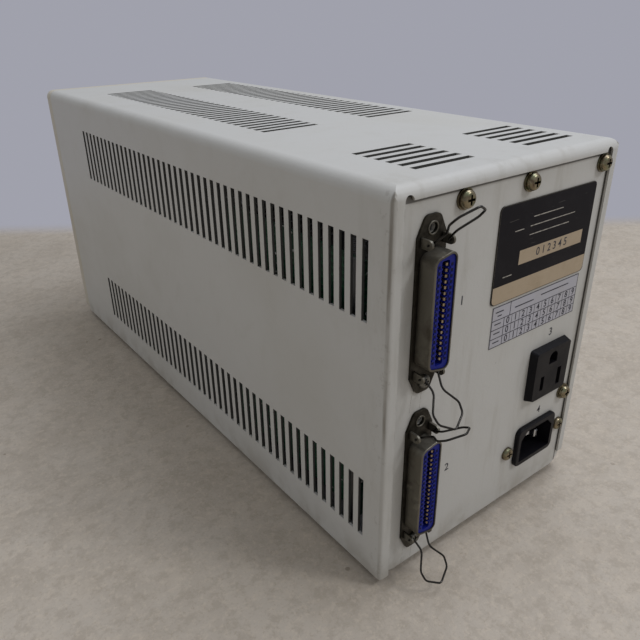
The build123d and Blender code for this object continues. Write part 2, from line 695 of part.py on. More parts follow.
def bail_pivot(end):
    """Y and Z of a bail's pivot, for an end such as upper_top."""
    which, side = end.split("_")
    sign = 1 if side == "top" else -1
    return Y_PANEL + EAR_PIVOT, RIBBON_Z[which] + sign * EAR_Z, sign


def make_bail(end):
    """Wire loop: pivots in two ears, a narrow waist, shoulders and a pointed tip."""
    y, z, sign = bail_pivot(end)
    lean = radians(BAIL_REST[end])
    plane = Plane(origin=(RIBBON_X, y, z), x_dir=(1, 0, 0), z_dir=(0, -sign * sin(lean), cos(lean)))
    pin_end = EAR_X + EAR_T / 2 + WIRE_R
    turn = EAR_X - EAR_T / 2 - 2.5 * WIRE_R
    half = [(pin_end, 0), (turn, 0), (BAIL_WAIST, 0.3 * BAIL_REACH)]
    half += [(BAIL_SHOULDER, 0.62 * BAIL_REACH), (0.91 * BAIL_SHOULDER, 0.82 * BAIL_REACH)]
    tip_r = 2.0
    tip = (0, BAIL_REACH + 0.4)
    points = half + [tip] + [(-px, py) for px, py in reversed(half)]
    radii = [2 * WIRE_R, 4.0, 3.0, 3.0]
    flat = [plane.from_local_coords((px, py, 0)) for px, py in points]
    return wire(flat, radii + [tip_r] + radii[::-1], WIRE_R)


def make_connector_screws():
    one = screw(SMALL_HEAD_R, SMALL_HEAD_H, SMALL_SCREW_R, SMALL_SCREW_LEN)
    screws = []
    for which in RIBBON_Z:
        z = RIBBON_Z[which] - RIBBON_HOLE_Z
        screws.append(facing_back(one, RIBBON_X, Y_PANEL + RIBBON_FLANGE_T, z))
    return group(screws)


def make_link_board():
    """Small circuit board that joins the backs of the two receptacles."""
    low = RIBBON_Z["lower"] - SHELL_LONG / 2
    high = RIBBON_Z["upper"] + SHELL_LONG / 2
    y = Y_PANEL_IN - INSULATOR_BACK
    return block(span(RIBBON_X, LINK_BOARD_W), (y - BOARD_T, y), (low, high))


# ---- Mains outlet and inlet ---------------------------------------------------------------------
def blade_cut(side, width, height, y0, y1):
    ox, oz = OUTLET_AT
    at = (ox + side * BLADE_GAP / 2, oz - BLADE_DROP)
    return slab_y(rect(width, height, at), y0, y1)


def ground_outline():
    """A round hole with a flat lower side."""
    ox, oz = OUTLET_AT
    z = oz + GROUND_RISE
    low = Pos(ox, z - GROUND_HOLE / 4) * Rectangle(GROUND_HOLE, GROUND_HOLE / 2)
    return Pos(ox, z) * Circle(GROUND_HOLE / 2) + low


def make_outlet_body():
    ox, oz = OUTLET_AT
    at = (ox, oz)
    front = Y_PANEL + OUTLET_PROUD
    face_size = OUTLET_SIZE - 2 * OUTLET_TAPER
    seat = Plane.XZ.offset(-Y_PANEL) * rect(OUTLET_SIZE, OUTLET_SIZE, at, OUTLET_CORNER)
    face = Plane.XZ.offset(-front) * rect(face_size, face_size, at, OUTLET_CORNER)
    rim = loft([seat.face(), face.face()])
    body = rim + slab_y(rect(OUTLET_BODY, OUTLET_BODY, at), Y_PANEL - OUTLET_DEPTH, Y_PANEL)
    for side, width, height in BLADE_SLOTS:
        body -= blade_cut(side, width, height, front - BLADE_DEPTH, front + 1)
    return body - slab_y(ground_outline(), front - BLADE_DEPTH, front + 1)


def make_outlet_contacts():
    """Brass clips on the wall of each slot."""
    ox, oz = OUTLET_AT
    y1 = Y_PANEL + OUTLET_PROUD - CLIP_DEPTH
    clips = []
    for side, width, height in BLADE_SLOTS:
        wall = ox + side * (BLADE_GAP / 2 + width / 2)
        z = oz - BLADE_DROP
        clips.append(block((wall - side * CLIP_T, wall), (y1 - CLIP_LEN, y1), span(z, height - 1)))
    low = oz + GROUND_RISE - GROUND_HOLE / 2
    clips.append(block(span(ox, GROUND_HOLE - 1), (y1 - CLIP_LEN, y1), (low, low + CLIP_T)))
    return group(clips)


def make_inlet_body():
    ix, iz = INLET_AT
    at = (ix, iz)
    front = Y_PANEL + INLET_PROUD
    rim = slab_y(rect(*INLET_RIM, at, INLET_RIM_R), Y_PANEL, front)
    rim = fillet(rim.edges().group_by(Axis.Y)[-1], 0.8)
    body = rim + slab_y(rect(*INLET_BODY, at, 1.0), Y_PANEL - INLET_DEPTH, Y_PANEL)
    ears = slab_y(
        Pos(*at) * SlotCenterToCenter(INLET_SCREWS, 2 * INLET_EAR_R), Y_PANEL_IN - INLET_EAR_T, Y_PANEL_IN
    )
    body += ears
    w, h = INLET_RECESS
    cut = INLET_RECESS_CUT
    corners = [(-w / 2, -h / 2), (w / 2, -h / 2), (w / 2, h / 2 - cut), (w / 2 - cut, h / 2)]
    corners += [(cut - w / 2, h / 2), (-w / 2, h / 2 - cut)]
    recess = Pos(*at) * make_face(Polyline(*corners, close=True))
    body -= slab_y(recess, front - INLET_RECESS_DEPTH, front + 1)
    ear_y = (Y_PANEL_IN - 2 * INLET_EAR_T, Y_PANEL_IN + 1)
    for side in (-1, 1):
        body -= rod_y(TAP_R, *ear_y, ix + side * INLET_SCREWS / 2, at[1])
    return body


def make_inlet_pins():
    ix, iz = INLET_AT
    front = Y_PANEL + INLET_PROUD
    pins = []
    for x, rise in ((-PIN_SPREAD, -PIN_RISE), (PIN_SPREAD, -PIN_RISE), (0, PIN_RISE)):
        at = (ix + x, iz + rise)
        pin = slab_y(rect(*PIN_SIZE, at), front - INLET_RECESS_DEPTH, front - PIN_SINK)
        pins.append(chamfer(pin.edges().group_by(Axis.Y)[-1], 0.5))
    return group(pins)


def make_inlet_screws():
    one = screw(SMALL_HEAD_R + 0.6, SMALL_HEAD_H + 0.4, SMALL_SCREW_R, SMALL_SCREW_LEN)
    ix, iz = INLET_AT
    return group([
        facing_back(one, ix + side * INLET_SCREWS / 2, Y_PANEL, iz) for side in (-1, 1)
    ])


def stuck_plate(size, inward, down, t, r):
    at = (inward - HALF_W, Z_TOP - down)
    return slab_y(rect(*size, at, r), Y_PANEL, Y_PANEL + t)


# ---- Front: switch and lamps --------------------------------------------------------------------
def make_power_switch():
    sx, sz = SWITCH_AT
    at = (sx, sz)
    face = Y_FRONT - SWITCH_PROUD
    body = slab_y(rect(*SWITCH_FRAME, at, 1.0), face, Y_FRONT)
    body += slab_y(rect(*SWITCH_BODY, at), Y_FRONT, Y_FRONT + SWITCH_DEPTH)
    cavity = rect(ROCKER[0] + 2 * ROCKER_GAP, ROCKER[1] + 2 * ROCKER_END_GAP, at)
    body -= slab_y(cavity, face - 1, face + ROCKER_CAVITY)
    return body - rod_x(
        ROCKER_PIN_R + RUN, sx - ROCKER[0] / 2 - 0.8, sx + ROCKER[0] / 2 + 0.8, face + ROCKER_PIVOT, at[1]
    )


def make_power_rocker():
    """Rocker with a hollow face, tipped to its off side."""
    sx, sz = SWITCH_AT
    pivot_y = Y_FRONT - SWITCH_PROUD + ROCKER_PIVOT
    half = ROCKER[1] / 2
    out = ROCKER_PIVOT + 1.8
    profile = [(-out, half), (-out + 1.0, 0), (-out, -half), (0.2, -half), (3.5, -3), (3.5, 3), (0.2, half)]
    body = slab_x(make_face(Polyline(*profile, close=True)), sx - ROCKER[0] / 2, sx + ROCKER[0] / 2)
    body += rod_x(ROCKER_PIN_R, sx - ROCKER[0] / 2 - 0.6, sx + ROCKER[0] / 2 + 0.6, 0, 0)
    return Pos(0, pivot_y, sz) * Rot(ROCKER_TILT, 0, 0) * body


def make_indicator_lamps():
    """Power lamp in the bezel, and one activity lamp in each faceplate."""
    places = [(SWITCH_AT[0], SWITCH_AT[1] + POWER_LAMP_UP, Y_FRONT)]
    for x in DRIVES_X.values():
        places.append((x + FACE_LAMP[0], Z_DRIVE + FACE_LAMP[1], Y_FACE))
    lamps = []
    for x, z, face in places:
        lens = rod_y(LAMP_R, face - 1.0, face + FACE_T - FIT, x, z)
        lamps.append(fillet(lens.edges().group_by(Axis.Y)[0], 0.9))
    return group(lamps)


# ---- Drives -------------------------------------------------------------------------------------
def drive_span(x, pair):
    """Two X values of a drive, from its middle plane."""
    return (x + pair[0], x + pair[1])


def make_chassis(x):
    """Cast frame: two rails, the deck that carries the mechanism, posts and bridges."""
    ends = (Y_CHASSIS, Y_CHASSIS_END)
    side = drive_span(x, (-DRIVE_T / 2, DRIVE_T / 2))
    top = Z_RAIL + DRIVE_H
    frame = block(side, ends, (Z_RAIL, Z_RAIL + RAIL_T)) + block(side, ends, (top - RAIL_T, top))
    inside = (Z_RAIL + RAIL_T, top - RAIL_T)
    deck = drive_span(x, (DECK_X, DECK_X + DECK_T))
    frame += block(deck, (Y_CHASSIS, Y_STEPPER), inside)
    wall_x = drive_span(x, (DECK_X, DRIVE_T / 2 - 2))
    wall_z = (Z_DRIVE - CARRIAGE_Z, Z_DRIVE + SCREW_Z + STEPPER_R)
    frame += block(wall_x, (Y_STEPPER - 2, Y_STEPPER), wall_z)
    post_y = (Y_ROD_FRONT - POST_D, Y_ROD_FRONT)
    for height, reach in ((ROD_Z, ROD_X), (-ROD_Z, ROD_X), (SCREW_Z, LEAD_X)):
        post_x = drive_span(x, (DECK_X + DECK_T, reach + POST_W / 2))
        frame += block(post_x, post_y, span(Z_DRIVE + height, POST_W))
    pivot_y = Y_SPINDLE + ARM_PIVOT
    bridge_x = drive_span(x, (ARM_X - 2, ARM_X + 4))
    bridge_y = pivot_y + ARM_BARREL_R + 1
    frame += block(bridge_x, (bridge_y, bridge_y + BRIDGE_D), inside)
    cam_y = Y_SPINDLE - ARM_FRONT
    lever_x = drive_span(x, (LEVER_X - 3, LEVER_X + 4))
    frame += block(lever_x, (cam_y - 2 * BRIDGE_D, cam_y - BRIDGE_D), inside)
    for sign in (-1, 1):
        near = Z_DRIVE + sign * (ARM_W / 2 + 1)
        lug_z = (near, near + sign * 4)
        frame += block(bridge_x, (pivot_y - ARM_BARREL_R, pivot_y + ARM_BARREL_R + 2), lug_z)
    for py in (Y_CHASSIS + 12, Y_STEPPER - 9):
        for pz in (inside[0] + 6, inside[1] - 6):
            frame += rod_x(LOGIC_POST_R, x + LOGIC_X + BOARD_T, x + DECK_X, py, pz)
    arm_x = x + ARM_X + ARM_T / 2
    cuts = [
        rod_x(SPINDLE_R + RUN, x + DECK_X - 1, x + DECK_X + DECK_T + 1, Y_SPINDLE, Z_DRIVE),
        rod_y(LEAD_R + RUN, Y_ROD_FRONT - POST_D - 1, Y_ROD_FRONT + 1, x + LEAD_X, Z_DRIVE + SCREW_Z),
        rod_y(LEAD_R + 0.5, Y_STEPPER - 3, Y_STEPPER + 1, x + LEAD_X, Z_DRIVE + SCREW_Z),
        rod_z(ARM_PIN_R + RUN, Z_DRIVE - ARM_W / 2 - 6, Z_DRIVE + ARM_W / 2 + 6, arm_x, pivot_y),
        rod_y(SHAFT_R + RUN, cam_y - 3 * BRIDGE_D, cam_y, x + LEVER_X, Z_DRIVE),
    ]
    for sign in (-1, 1):
        rod_at = (x + ROD_X, Z_DRIVE + sign * ROD_Z)
        cuts.append(rod_y(ROD_R + THREAD, Y_ROD_FRONT - ROD_SEAT, Y_ROD_FRONT + 1, *rod_at))
    cuts += [rod_z(TAP_R, Z_RAIL - 1, Z_RAIL + RAIL_T + 1, *place) for place in drive_screw_places()]
    return frame - cuts


def make_faceplate(x):
    plate = slab_y(rect(FACE_W, FACE_H, (x, Z_DRIVE), 1.5), Y_FACE, Y_CHASSIS)
    mouth = rect(DISK_SLOT_W + 3, DISK_SLOT_H + 3, (x + DISK_X, Z_DRIVE), 1.0)
    slot = rect(DISK_SLOT_W, DISK_SLOT_H, (x + DISK_X, Z_DRIVE), 1.0)
    plate -= loft([Plane.XZ.offset(-Y_FACE + 0.01) * mouth, Plane.XZ.offset(-Y_FACE - 2) * slot])
    plate -= slab_y(slot, Y_FACE - 1, Y_CHASSIS + 1)
    plate -= rod_y(SHAFT_R + RUN, Y_FACE - 1, Y_CHASSIS + 1, x + LEVER_X, Z_DRIVE)
    lamp_x, lamp_z = FACE_LAMP
    return plate - rod_y(LAMP_R + FIT, Y_FACE - 1, Y_CHASSIS + 1, x + lamp_x, Z_DRIVE + lamp_z)


def make_lever(x):
    """Quarter-turn lever with its shaft and the cam that lifts the clamp arm. It hangs down when open."""
    lx = x + LEVER_X
    back = Y_FACE - LEVER_GAP
    front = back - LEVER_T
    hub = rod_y(LEVER_HUB_R, front, back, lx, Z_DRIVE)
    grip = rect(LEVER_W, LEVER_LEN, (lx, Z_DRIVE - LEVER_LEN / 2), 2.0)
    grip = slab_y(grip, front, back)
    lever = hub + fillet(grip.edges().group_by(Axis.Y)[0], 1.2)
    cam_y = Y_SPINDLE - ARM_FRONT
    lever += rod_y(SHAFT_R, back, cam_y + CAM_T, lx, Z_DRIVE)
    cam = rod_y(CAM_TIP_R, cam_y, cam_y + CAM_T, CAM_REACH, 0)
    cam += block((0, CAM_REACH), (cam_y, cam_y + CAM_T), span(0, 2 * CAM_TIP_R))
    return lever + Pos(lx, 0, Z_DRIVE) * Rot(0, CAM_LEAD, 0) * cam


def lifted(shape, x):
    """Turns a piece of the shut clamp arm to the open rest position."""
    pivot = (x + ARM_X + ARM_T / 2, Y_SPINDLE + ARM_PIVOT, 0)
    return Pos(*pivot) * Rot(0, 0, ARM_LIFT) * Pos(*[-value for value in pivot]) * shape


def make_clamp_arm(x):
    """Sheet arm over the disk, with a hinge barrel and pins at its back end."""
    pivot_x = x + ARM_X + ARM_T / 2
    pivot_y = Y_SPINDLE + ARM_PIVOT
    arm_y = (Y_SPINDLE - ARM_FRONT, pivot_y)
    arm = block(drive_span(x, (ARM_X, ARM_X + ARM_T)), arm_y, span(Z_DRIVE, ARM_W))
    arm += rod_z(ARM_BARREL_R, Z_DRIVE - ARM_W / 2, Z_DRIVE + ARM_W / 2, pivot_x, pivot_y)
    arm += rod_z(ARM_PIN_R, Z_DRIVE - ARM_W / 2 - 5, Z_DRIVE + ARM_W / 2 + 5, pivot_x, pivot_y)
    arm -= rod_x(CONE_STEM_R + RUN, x + ARM_X - 1, x + ARM_X + ARM_T + 1, Y_SPINDLE, Z_DRIVE)
    return lifted(arm, x)


def make_clamp_cone(x):
    """Centring cone that presses the disk on the hub. Its stem turns in the arm, between collars."""
    back = x + CONE_FACE + CONE_T
    outer = x + ARM_X + ARM_T + CONE_PLAY
    cone = rod_x(CONE_R, x + CONE_FACE, back, Y_SPINDLE, Z_DRIVE)
    cone = chamfer(cone.edges().group_by(Axis.X)[0], 1.0)
    cone += rod_x(CONE_COLLAR_R, back, x + ARM_X - CONE_PLAY, Y_SPINDLE, Z_DRIVE)
    cone += rod_x(CONE_STEM_R, back, outer, Y_SPINDLE, Z_DRIVE)
    cone += rod_x(CONE_COLLAR_R, outer, outer + CONE_COLLAR_T, Y_SPINDLE, Z_DRIVE)
    return lifted(cone, x)


def make_spindle(x):
    """Hub, shaft and outer rotor of the direct-drive motor."""
    deck_out = x + DECK_X
    rotor_x = deck_out - STATOR_T - MOTOR_GAP
    hub = rod_x(HUB_R, deck_out + DECK_T + MOTOR_GAP, x + HUB_TOP, Y_SPINDLE, Z_DRIVE)
    hub -= rod_x(HUB_R - 5, x + HUB_TOP - 1.5, x + HUB_TOP + 1, Y_SPINDLE, Z_DRIVE)
    shaft = rod_x(SPINDLE_R, rotor_x - 1, x + HUB_TOP - 1.5, Y_SPINDLE, Z_DRIVE)
    return hub + shaft + rod_x(ROTOR_R, rotor_x - ROTOR_T, rotor_x, Y_SPINDLE, Z_DRIVE)


def make_spindle_motors():
    """The stators, ring boards with coils, one under each deck."""
    stators = []
    for x in DRIVES_X.values():
        deck_out = x + DECK_X
        ring = rod_x(STATOR_R, deck_out - BOARD_T, deck_out, Y_SPINDLE, Z_DRIVE)
        for i in range(6):
            turn = radians(60 * i)
            y = Y_SPINDLE + 18 * cos(turn)
            z = Z_DRIVE + 18 * sin(turn)
            ring += rod_x(7.5, deck_out - STATOR_T, deck_out - BOARD_T, y, z)
        ring -= rod_x(SPINDLE_R + 2, deck_out - STATOR_T - 1, deck_out + 1, Y_SPINDLE, Z_DRIVE)
        stators.append(ring)
    return group(stators)


def make_guide_rods():
    rods = []
    ends = (Y_ROD_FRONT - ROD_SEAT, Y_STEPPER - 2)
    for x in DRIVES_X.values():
        for sign in (-1, 1):
            rods.append(rod_y(ROD_R, *ends, x + ROD_X, Z_DRIVE + sign * ROD_Z))
    return group(rods)


def make_head_carriage(x):
    """Carriage on two rods, with a head arm on each side of the disk and a nut ear."""
    y0 = Y_CARRIAGE
    y1 = Y_CARRIAGE + CARRIAGE_D
    body = block(drive_span(x, CARRIAGE_X), (y0, y1), span(Z_DRIVE, 2 * CARRIAGE_Z))
    arm_gap = 1.8
    arm_t = 2.2
    tip_y = y0 - HEAD_REACH
    for sign in (-1, 1):
        near = DISK_X + sign * arm_gap
        far = near + sign * arm_t
        arm_x = drive_span(x, (min(near, far), max(near, far)))
        body += block(arm_x, (tip_y, y0), span(Z_DRIVE, HEAD_W))
        pad = sorted((x + near, x + near - sign * 0.7))
        body += rod_x(2.0, pad[0], pad[1], tip_y + 4, Z_DRIVE)
    nut_x = drive_span(x, (CARRIAGE_X[0], LEAD_X + LEAD_R + 2))
    body += block(nut_x, (y0 + 2, y1 - 2), (Z_DRIVE + CARRIAGE_Z, Z_DRIVE + SCREW_Z + LEAD_R + 3))
    cuts = [rod_y(ROD_R + RUN, y0 - 1, y1 + 1, x + ROD_X, Z_DRIVE + sign * ROD_Z) for sign in (-1, 1)]
    cuts.append(rod_y(LEAD_R + RUN, y0, y1, x + LEAD_X, Z_DRIVE + SCREW_Z))
    return body - cuts


def make_lead_screw(x):
    start = Y_ROD_FRONT - POST_D + 1
    return rod_y(LEAD_R, start, Y_STEPPER + 6, x + LEAD_X, Z_DRIVE + SCREW_Z)


def make_stepper_motor(x):
    z = Z_DRIVE + SCREW_Z
    can = rod_y(STEPPER_R, Y_STEPPER, Y_CHASSIS_END, x + LEAD_X, z)
    can = fillet(can.edges().group_by(Axis.Y)[-1], 1.5)
    return can - rod_y(LEAD_R + RUN, Y_STEPPER - 1, Y_STEPPER + 7, x + LEAD_X, z)


def make_logic_board(x):
    """Drive electronics on the outer side of the posts."""
    board_x = drive_span(x, (LOGIC_X, LOGIC_X + BOARD_T))
    board_y = (Y_CHASSIS + 5, Y_STEPPER - 4)
    board_z = (Z_RAIL + RAIL_T + 1, Z_RAIL + DRIVE_H - RAIL_T - 1)
    return block(board_x, board_y, board_z)


# ---- Power supply -------------------------------------------------------------------------------
def make_transformer_core():
    """Laminated core with two windows, standing on the tray."""
    w, d, h = CORE_SIZE
    cx, cy = CORE_AT
    core = block(span(cx, w), span(cy, d), (Z_TRAY, Z_TRAY + h))
    for sign in (-1, 1):
        window_x = sorted((cx + sign * CORE_LEG / 2, cx + sign * (w / 2 - CORE_YOKE)))
        core -= block(window_x, span(cy, d + 2), (Z_TRAY + CORE_YOKE, Z_TRAY + h - CORE_YOKE))
    return core


def make_transformer_winding():
    w, d, h = CORE_SIZE
    cx, cy = CORE_AT
    z = (Z_TRAY + CORE_YOKE + FIT, Z_TRAY + h - CORE_YOKE - FIT)
    coil = block(span(cx, w - 2 * CORE_YOKE - 2 * FIT), span(cy, d + 2 * WINDING_OUT), z)
    inner_y = span(cy, d + 2 * FIT)
    return coil - block(span(cx, CORE_LEG + 2 * FIT), inner_y, (z[0] - 1, z[1] + 1))


def make_supply_board():
    return block((SUPPLY_X, SUPPLY_X + BOARD_T), SUPPLY_Y, Z_SUPPLY)


def make_supply_capacitors():
    cans = []
    for y, h, r, length in CAPACITORS:
        can = rod_x(r, SUPPLY_X - length, SUPPLY_X, SUPPLY_Y[0] + y, Z_SUPPLY[0] + h)
        cans.append(fillet(can.edges().group_by(Axis.X)[0], 1.0))
    return group(cans)


def make_heat_sink():
    """Finned extrusion on the supply board."""
    top = Z_SUPPLY[1] - SINK_TOP_EDGE
    z = (top - SINK_H, top)
    start = SUPPLY_Y[0] + SINK_EDGE
    sink = block((SUPPLY_X - SINK_BASE, SUPPLY_X), (start, start + SINK_D), z)
    step = (SINK_D - SINK_FIN_T) / (SINK_FINS - 1)
    for i in range(SINK_FINS):
        y = start + i * step
        sink += block((SUPPLY_X - SINK_BASE - SINK_FIN_LEN, SUPPLY_X - SINK_BASE), (y, y + SINK_FIN_T), z)
    return sink


# ---- Wiring -------------------------------------------------------------------------------------
def logic_middle(x):
    return x + LOGIC_X + BOARD_T / 2


def make_signal_ribbon():
    """Flat cable from the link board round to drive b, with a branch to drive a."""
    start = Y_PANEL_IN - INSULATOR_BACK - BOARD_T
    lane = Y_CHASSIS_END + RIBBON_LANE_BACK
    end = Y_STEPPER - 4
    z = (Z_CASE + RIBBON_UP, Z_CASE + RIBBON_UP + RIBBON_W)
    lane_x = RIBBON_X - RIBBON_LANE_IN
    last_x = logic_middle(DRIVES_X["b"])
    points = [(lane_x, start), (lane_x, lane), (last_x, lane), (last_x, end)]
    main = strip(points, RIBBON_BEND, RIBBON_T, *z)
    branch_x = logic_middle(DRIVES_X["a"])
    branch = block(span(branch_x, RIBBON_T), (end, lane - RIBBON_T / 2), z)
    return group([main, branch])


def make_power_harness():
    """Low-voltage bundles from the supply board to each drive's logic board."""
    lane = Y_CHASSIS_END + HARNESS_LANE_BACK
    end = Y_STEPPER - 4
    bundles = []
    for which, height in HARNESS_UP.items():
        x = logic_middle(DRIVES_X[which])
        z = Z_CASE + height
        points = [(SUPPLY_X, lane, z), (x, lane, z), (x, end, z)]
        bundles.append(wire(points, HARNESS_BEND, HARNESS_R))
    return group(bundles)


def make_mains_wires():
    """Leads from inlet and outlet to the transformer, and from the switch to the supply."""
    ix, iz = INLET_AT
    coil_back = CORE_AT[1] + CORE_SIZE[1] / 2 + WINDING_OUT
    middle = (coil_back + Y_PANEL - INLET_DEPTH) / 2
    ox, oz = OUTLET_AT
    tap_z = iz + MAINS_TAP_RISE
    outlet = [(ox, Y_PANEL - OUTLET_DEPTH, oz), (ox, middle, oz)]
    outlet += [(ox, middle, tap_z), (ox, coil_back, tap_z)]
    sx, sz = SWITCH_AT
    back = Y_FRONT + SWITCH_DEPTH
    high = Z_SUPPLY[1] - SWITCH_LEAD_DOWN
    lane = Y_CHASSIS_END + HARNESS_LANE_BACK
    climb, level = SWITCH_LEAD_RUN
    switch = [(sx, back, sz), (sx, back + climb, sz), (sx, back + level, high)]
    switch += [(sx, lane, high), (SUPPLY_X, lane, high)]
    return group([
        rod_y(MAINS_R, coil_back, Y_PANEL - INLET_DEPTH, ix, iz),
        wire(outlet, [MAINS_BEND] * 2, MAINS_R),
        wire(switch, [SWITCH_LEAD_BEND, SWITCH_LEAD_BEND, MAINS_BEND], MAINS_R),
    ])


# ---- Nodes --------------------------------------------------------------------------------------
def all_nodes():
    nodes = {
        "cover": make_cover(),
        "base_tray": make_base_tray(),
        "rear_panel": make_rear_panel(),
        "front_bezel": make_front_bezel(),
        "rubber_feet": make_rubber_feet(),
        "panel_screws": make_panel_screws(),
        "panel_washers": make_panel_washers(),
        "cover_screws": make_cover_screws(),
        "drive_screws": make_drive_screws(),
        "ribbon_contacts": make_ribbon_contacts(),
        "connector_screws": make_connector_screws(),
        "link_board": make_link_board(),
        "outlet_body": make_outlet_body(),
        "outlet_contacts": make_outlet_contacts(),
        "inlet_body": make_inlet_body(),
        "inlet_pins": make_inlet_pins(),
        "inlet_screws": make_inlet_screws(),
        "rating_plate": stuck_plate(PLATE_SIZE, PLATE_IN, PLATE_DOWN, PLATE_T, PLATE_R),
        "revision_label": stuck_plate(LABEL_SIZE, LABEL_IN, LABEL_DOWN, LABEL_T, LABEL_R),
        "power_switch": make_power_switch(),
        "power_rocker": make_power_rocker(),
        "indicator_lamps": make_indicator_lamps(),
        "spindle_motors": make_spindle_motors(),
        "guide_rods": make_guide_rods(),
        "transformer_core": make_transformer_core(),
        "transformer_winding": make_transformer_winding(),
        "supply_board": make_supply_board(),
        "supply_capacitors": make_supply_capacitors(),
        "heat_sink": make_heat_sink(),
        "signal_ribbon": make_signal_ribbon(),
        "power_harness": make_power_harness(),
        "mains_wires": make_mains_wires(),
    }
    for which in RIBBON_Z:
        nodes[f"{which}_connector_shell"] = make_connector_shell(which)
        nodes[f"{which}_connector_insulator"] = make_connector_insulator(which)
    for end in BAIL_REST:
        nodes[f"{end}_bail"] = make_bail(end)
    for name, x in DRIVES_X.items():
        nodes[f"drive_{name}_chassis"] = make_chassis(x)
        nodes[f"drive_{name}_faceplate"] = make_faceplate(x)
        nodes[f"drive_{name}_lever"] = make_lever(x)
        nodes[f"drive_{name}_clamp_arm"] = make_clamp_arm(x)
        nodes[f"drive_{name}_clamp_cone"] = make_clamp_cone(x)
        nodes[f"drive_{name}_spindle"] = make_spindle(x)
        nodes[f"drive_{name}_head_carriage"] = make_head_carriage(x)
        nodes[f"drive_{name}_lead_screw"] = make_lead_screw(x)
        nodes[f"drive_{name}_stepper_motor"] = make_stepper_motor(x)
        nodes[f"drive_{name}_logic_board"] = make_logic_board(x)
    return nodes


os.makedirs("parts", exist_ok=True)
for node_name, shape in all_nodes().items():
    export_step(shape, f"parts/{node_name}.step")
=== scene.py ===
"""External twin floppy disk drive: finishes, printed marks, small fittings and a plain studio."""
import json
import math

import bmesh
import bpy
from mathutils import Matrix, Vector


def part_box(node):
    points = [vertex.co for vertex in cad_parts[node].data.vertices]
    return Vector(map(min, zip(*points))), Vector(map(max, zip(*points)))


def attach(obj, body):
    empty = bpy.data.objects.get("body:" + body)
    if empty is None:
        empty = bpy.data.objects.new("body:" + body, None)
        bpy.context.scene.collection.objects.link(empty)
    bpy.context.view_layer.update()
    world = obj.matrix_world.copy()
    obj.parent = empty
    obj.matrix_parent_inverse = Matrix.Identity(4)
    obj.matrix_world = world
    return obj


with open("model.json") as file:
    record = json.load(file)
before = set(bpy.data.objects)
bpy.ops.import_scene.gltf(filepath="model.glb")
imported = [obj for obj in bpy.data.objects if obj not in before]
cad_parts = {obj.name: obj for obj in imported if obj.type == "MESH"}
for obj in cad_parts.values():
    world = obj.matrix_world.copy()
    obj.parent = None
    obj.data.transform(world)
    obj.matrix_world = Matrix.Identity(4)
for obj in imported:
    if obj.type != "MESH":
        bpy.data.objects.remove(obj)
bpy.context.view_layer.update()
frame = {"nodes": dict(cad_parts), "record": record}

bl_info = {
    "name": "Twin floppy disk drive",
    "version": (1, 0, 0),
    "blender": (4, 5, 0),
    "location": "3D View > Sidebar > Disk drive",
    "description": "Finishes and fittings of an external twin floppy disk drive, with its studio",
    "category": "Object",
}

MM = 0.001
SLOT_OF = {row["node"]: row["material_slot"] for row in frame["record"]["subparts"]}


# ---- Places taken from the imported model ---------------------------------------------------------
def middle(node):
    low_corner, high_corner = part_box(node)
    return (Vector(low_corner) + Vector(high_corner)) / 2


def high(node, axis):
    return Vector(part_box(node)[1])["xyz".index(axis)]


def low(node, axis):
    return Vector(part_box(node)[0])["xyz".index(axis)]


def row_of(count, pitch, centre=0.0):
    """Evenly spaced places about a centre."""
    return [centre + (i - (count - 1) / 2) * pitch for i in range(count)]


# ---- Meshes -------------------------------------------------------------------------------------
MERGE = 1e-7                    # vertices nearer than this are one
SHARP = math.radians(30.0)      # edges that turn more than this stay sharp
BACK = Matrix(((-1, 0, 0), (0, 0, 1), (0, 1, 0))).to_4x4()    # reads from +Y, upright
FRONT = Matrix(((1, 0, 0), (0, 0, -1), (0, 1, 0))).to_4x4()   # reads from -Y, upright
FIGURE = 0.7                    # height of a figure, as a share of the font's size
STROKE = 0.016                  # how far strokes are thickened, as a share of the figure's height


def block(bm, start, end, round_along=None, radius=0.0, segments=3):
    """Box between two opposite corners; round_along names the axis whose four edges are rounded."""
    near, far = (Vector(tuple(map(pick, start, end))) for pick in (min, max))
    made = bmesh.ops.create_cube(bm, size=1.0)["verts"]
    bmesh.ops.scale(bm, vec=far - near, verts=made)
    bmesh.ops.translate(bm, vec=(near + far) / 2, verts=made)
    if round_along:
        along = "xyz".index(round_along)
        edges = {edge for vert in made for edge in vert.link_edges}
        edges = [e for e in edges if abs((e.verts[0].co - e.verts[1].co)[along]) > 1e-9]
        bmesh.ops.bevel(bm, geom=edges, offset=radius, offset_type="OFFSET", segments=segments,
                        profile=0.5, affect="EDGES", material=-1)
    return made


def moved(place, *steps):
    """Place moved by millimetres along x, y and z."""
    return [at + step * MM for at, step in zip(place, steps)]


def block_at(bm, place, start, end, round_along=None, radius=0.0):
    """Box whose opposite corners, and its radius, are given in millimetres from a place."""
    block(bm, moved(place, *start), moved(place, *end), round_along, radius * MM, 2)


def placed(centre, axis):
    """Matrix that points +Z along the axis and moves to the centre."""
    turn = Vector((0, 0, 1)).rotation_difference(Vector(axis)).to_matrix().to_4x4()
    return Matrix.Translation(Vector(centre)) @ turn


def rod(bm, centre, axis, radius, length, segments=24):
    """Closed cylinder about its centre."""
    bmesh.ops.create_cone(bm, cap_ends=True, segments=segments, radius1=radius, radius2=radius,
                          depth=length, matrix=placed(centre, axis))


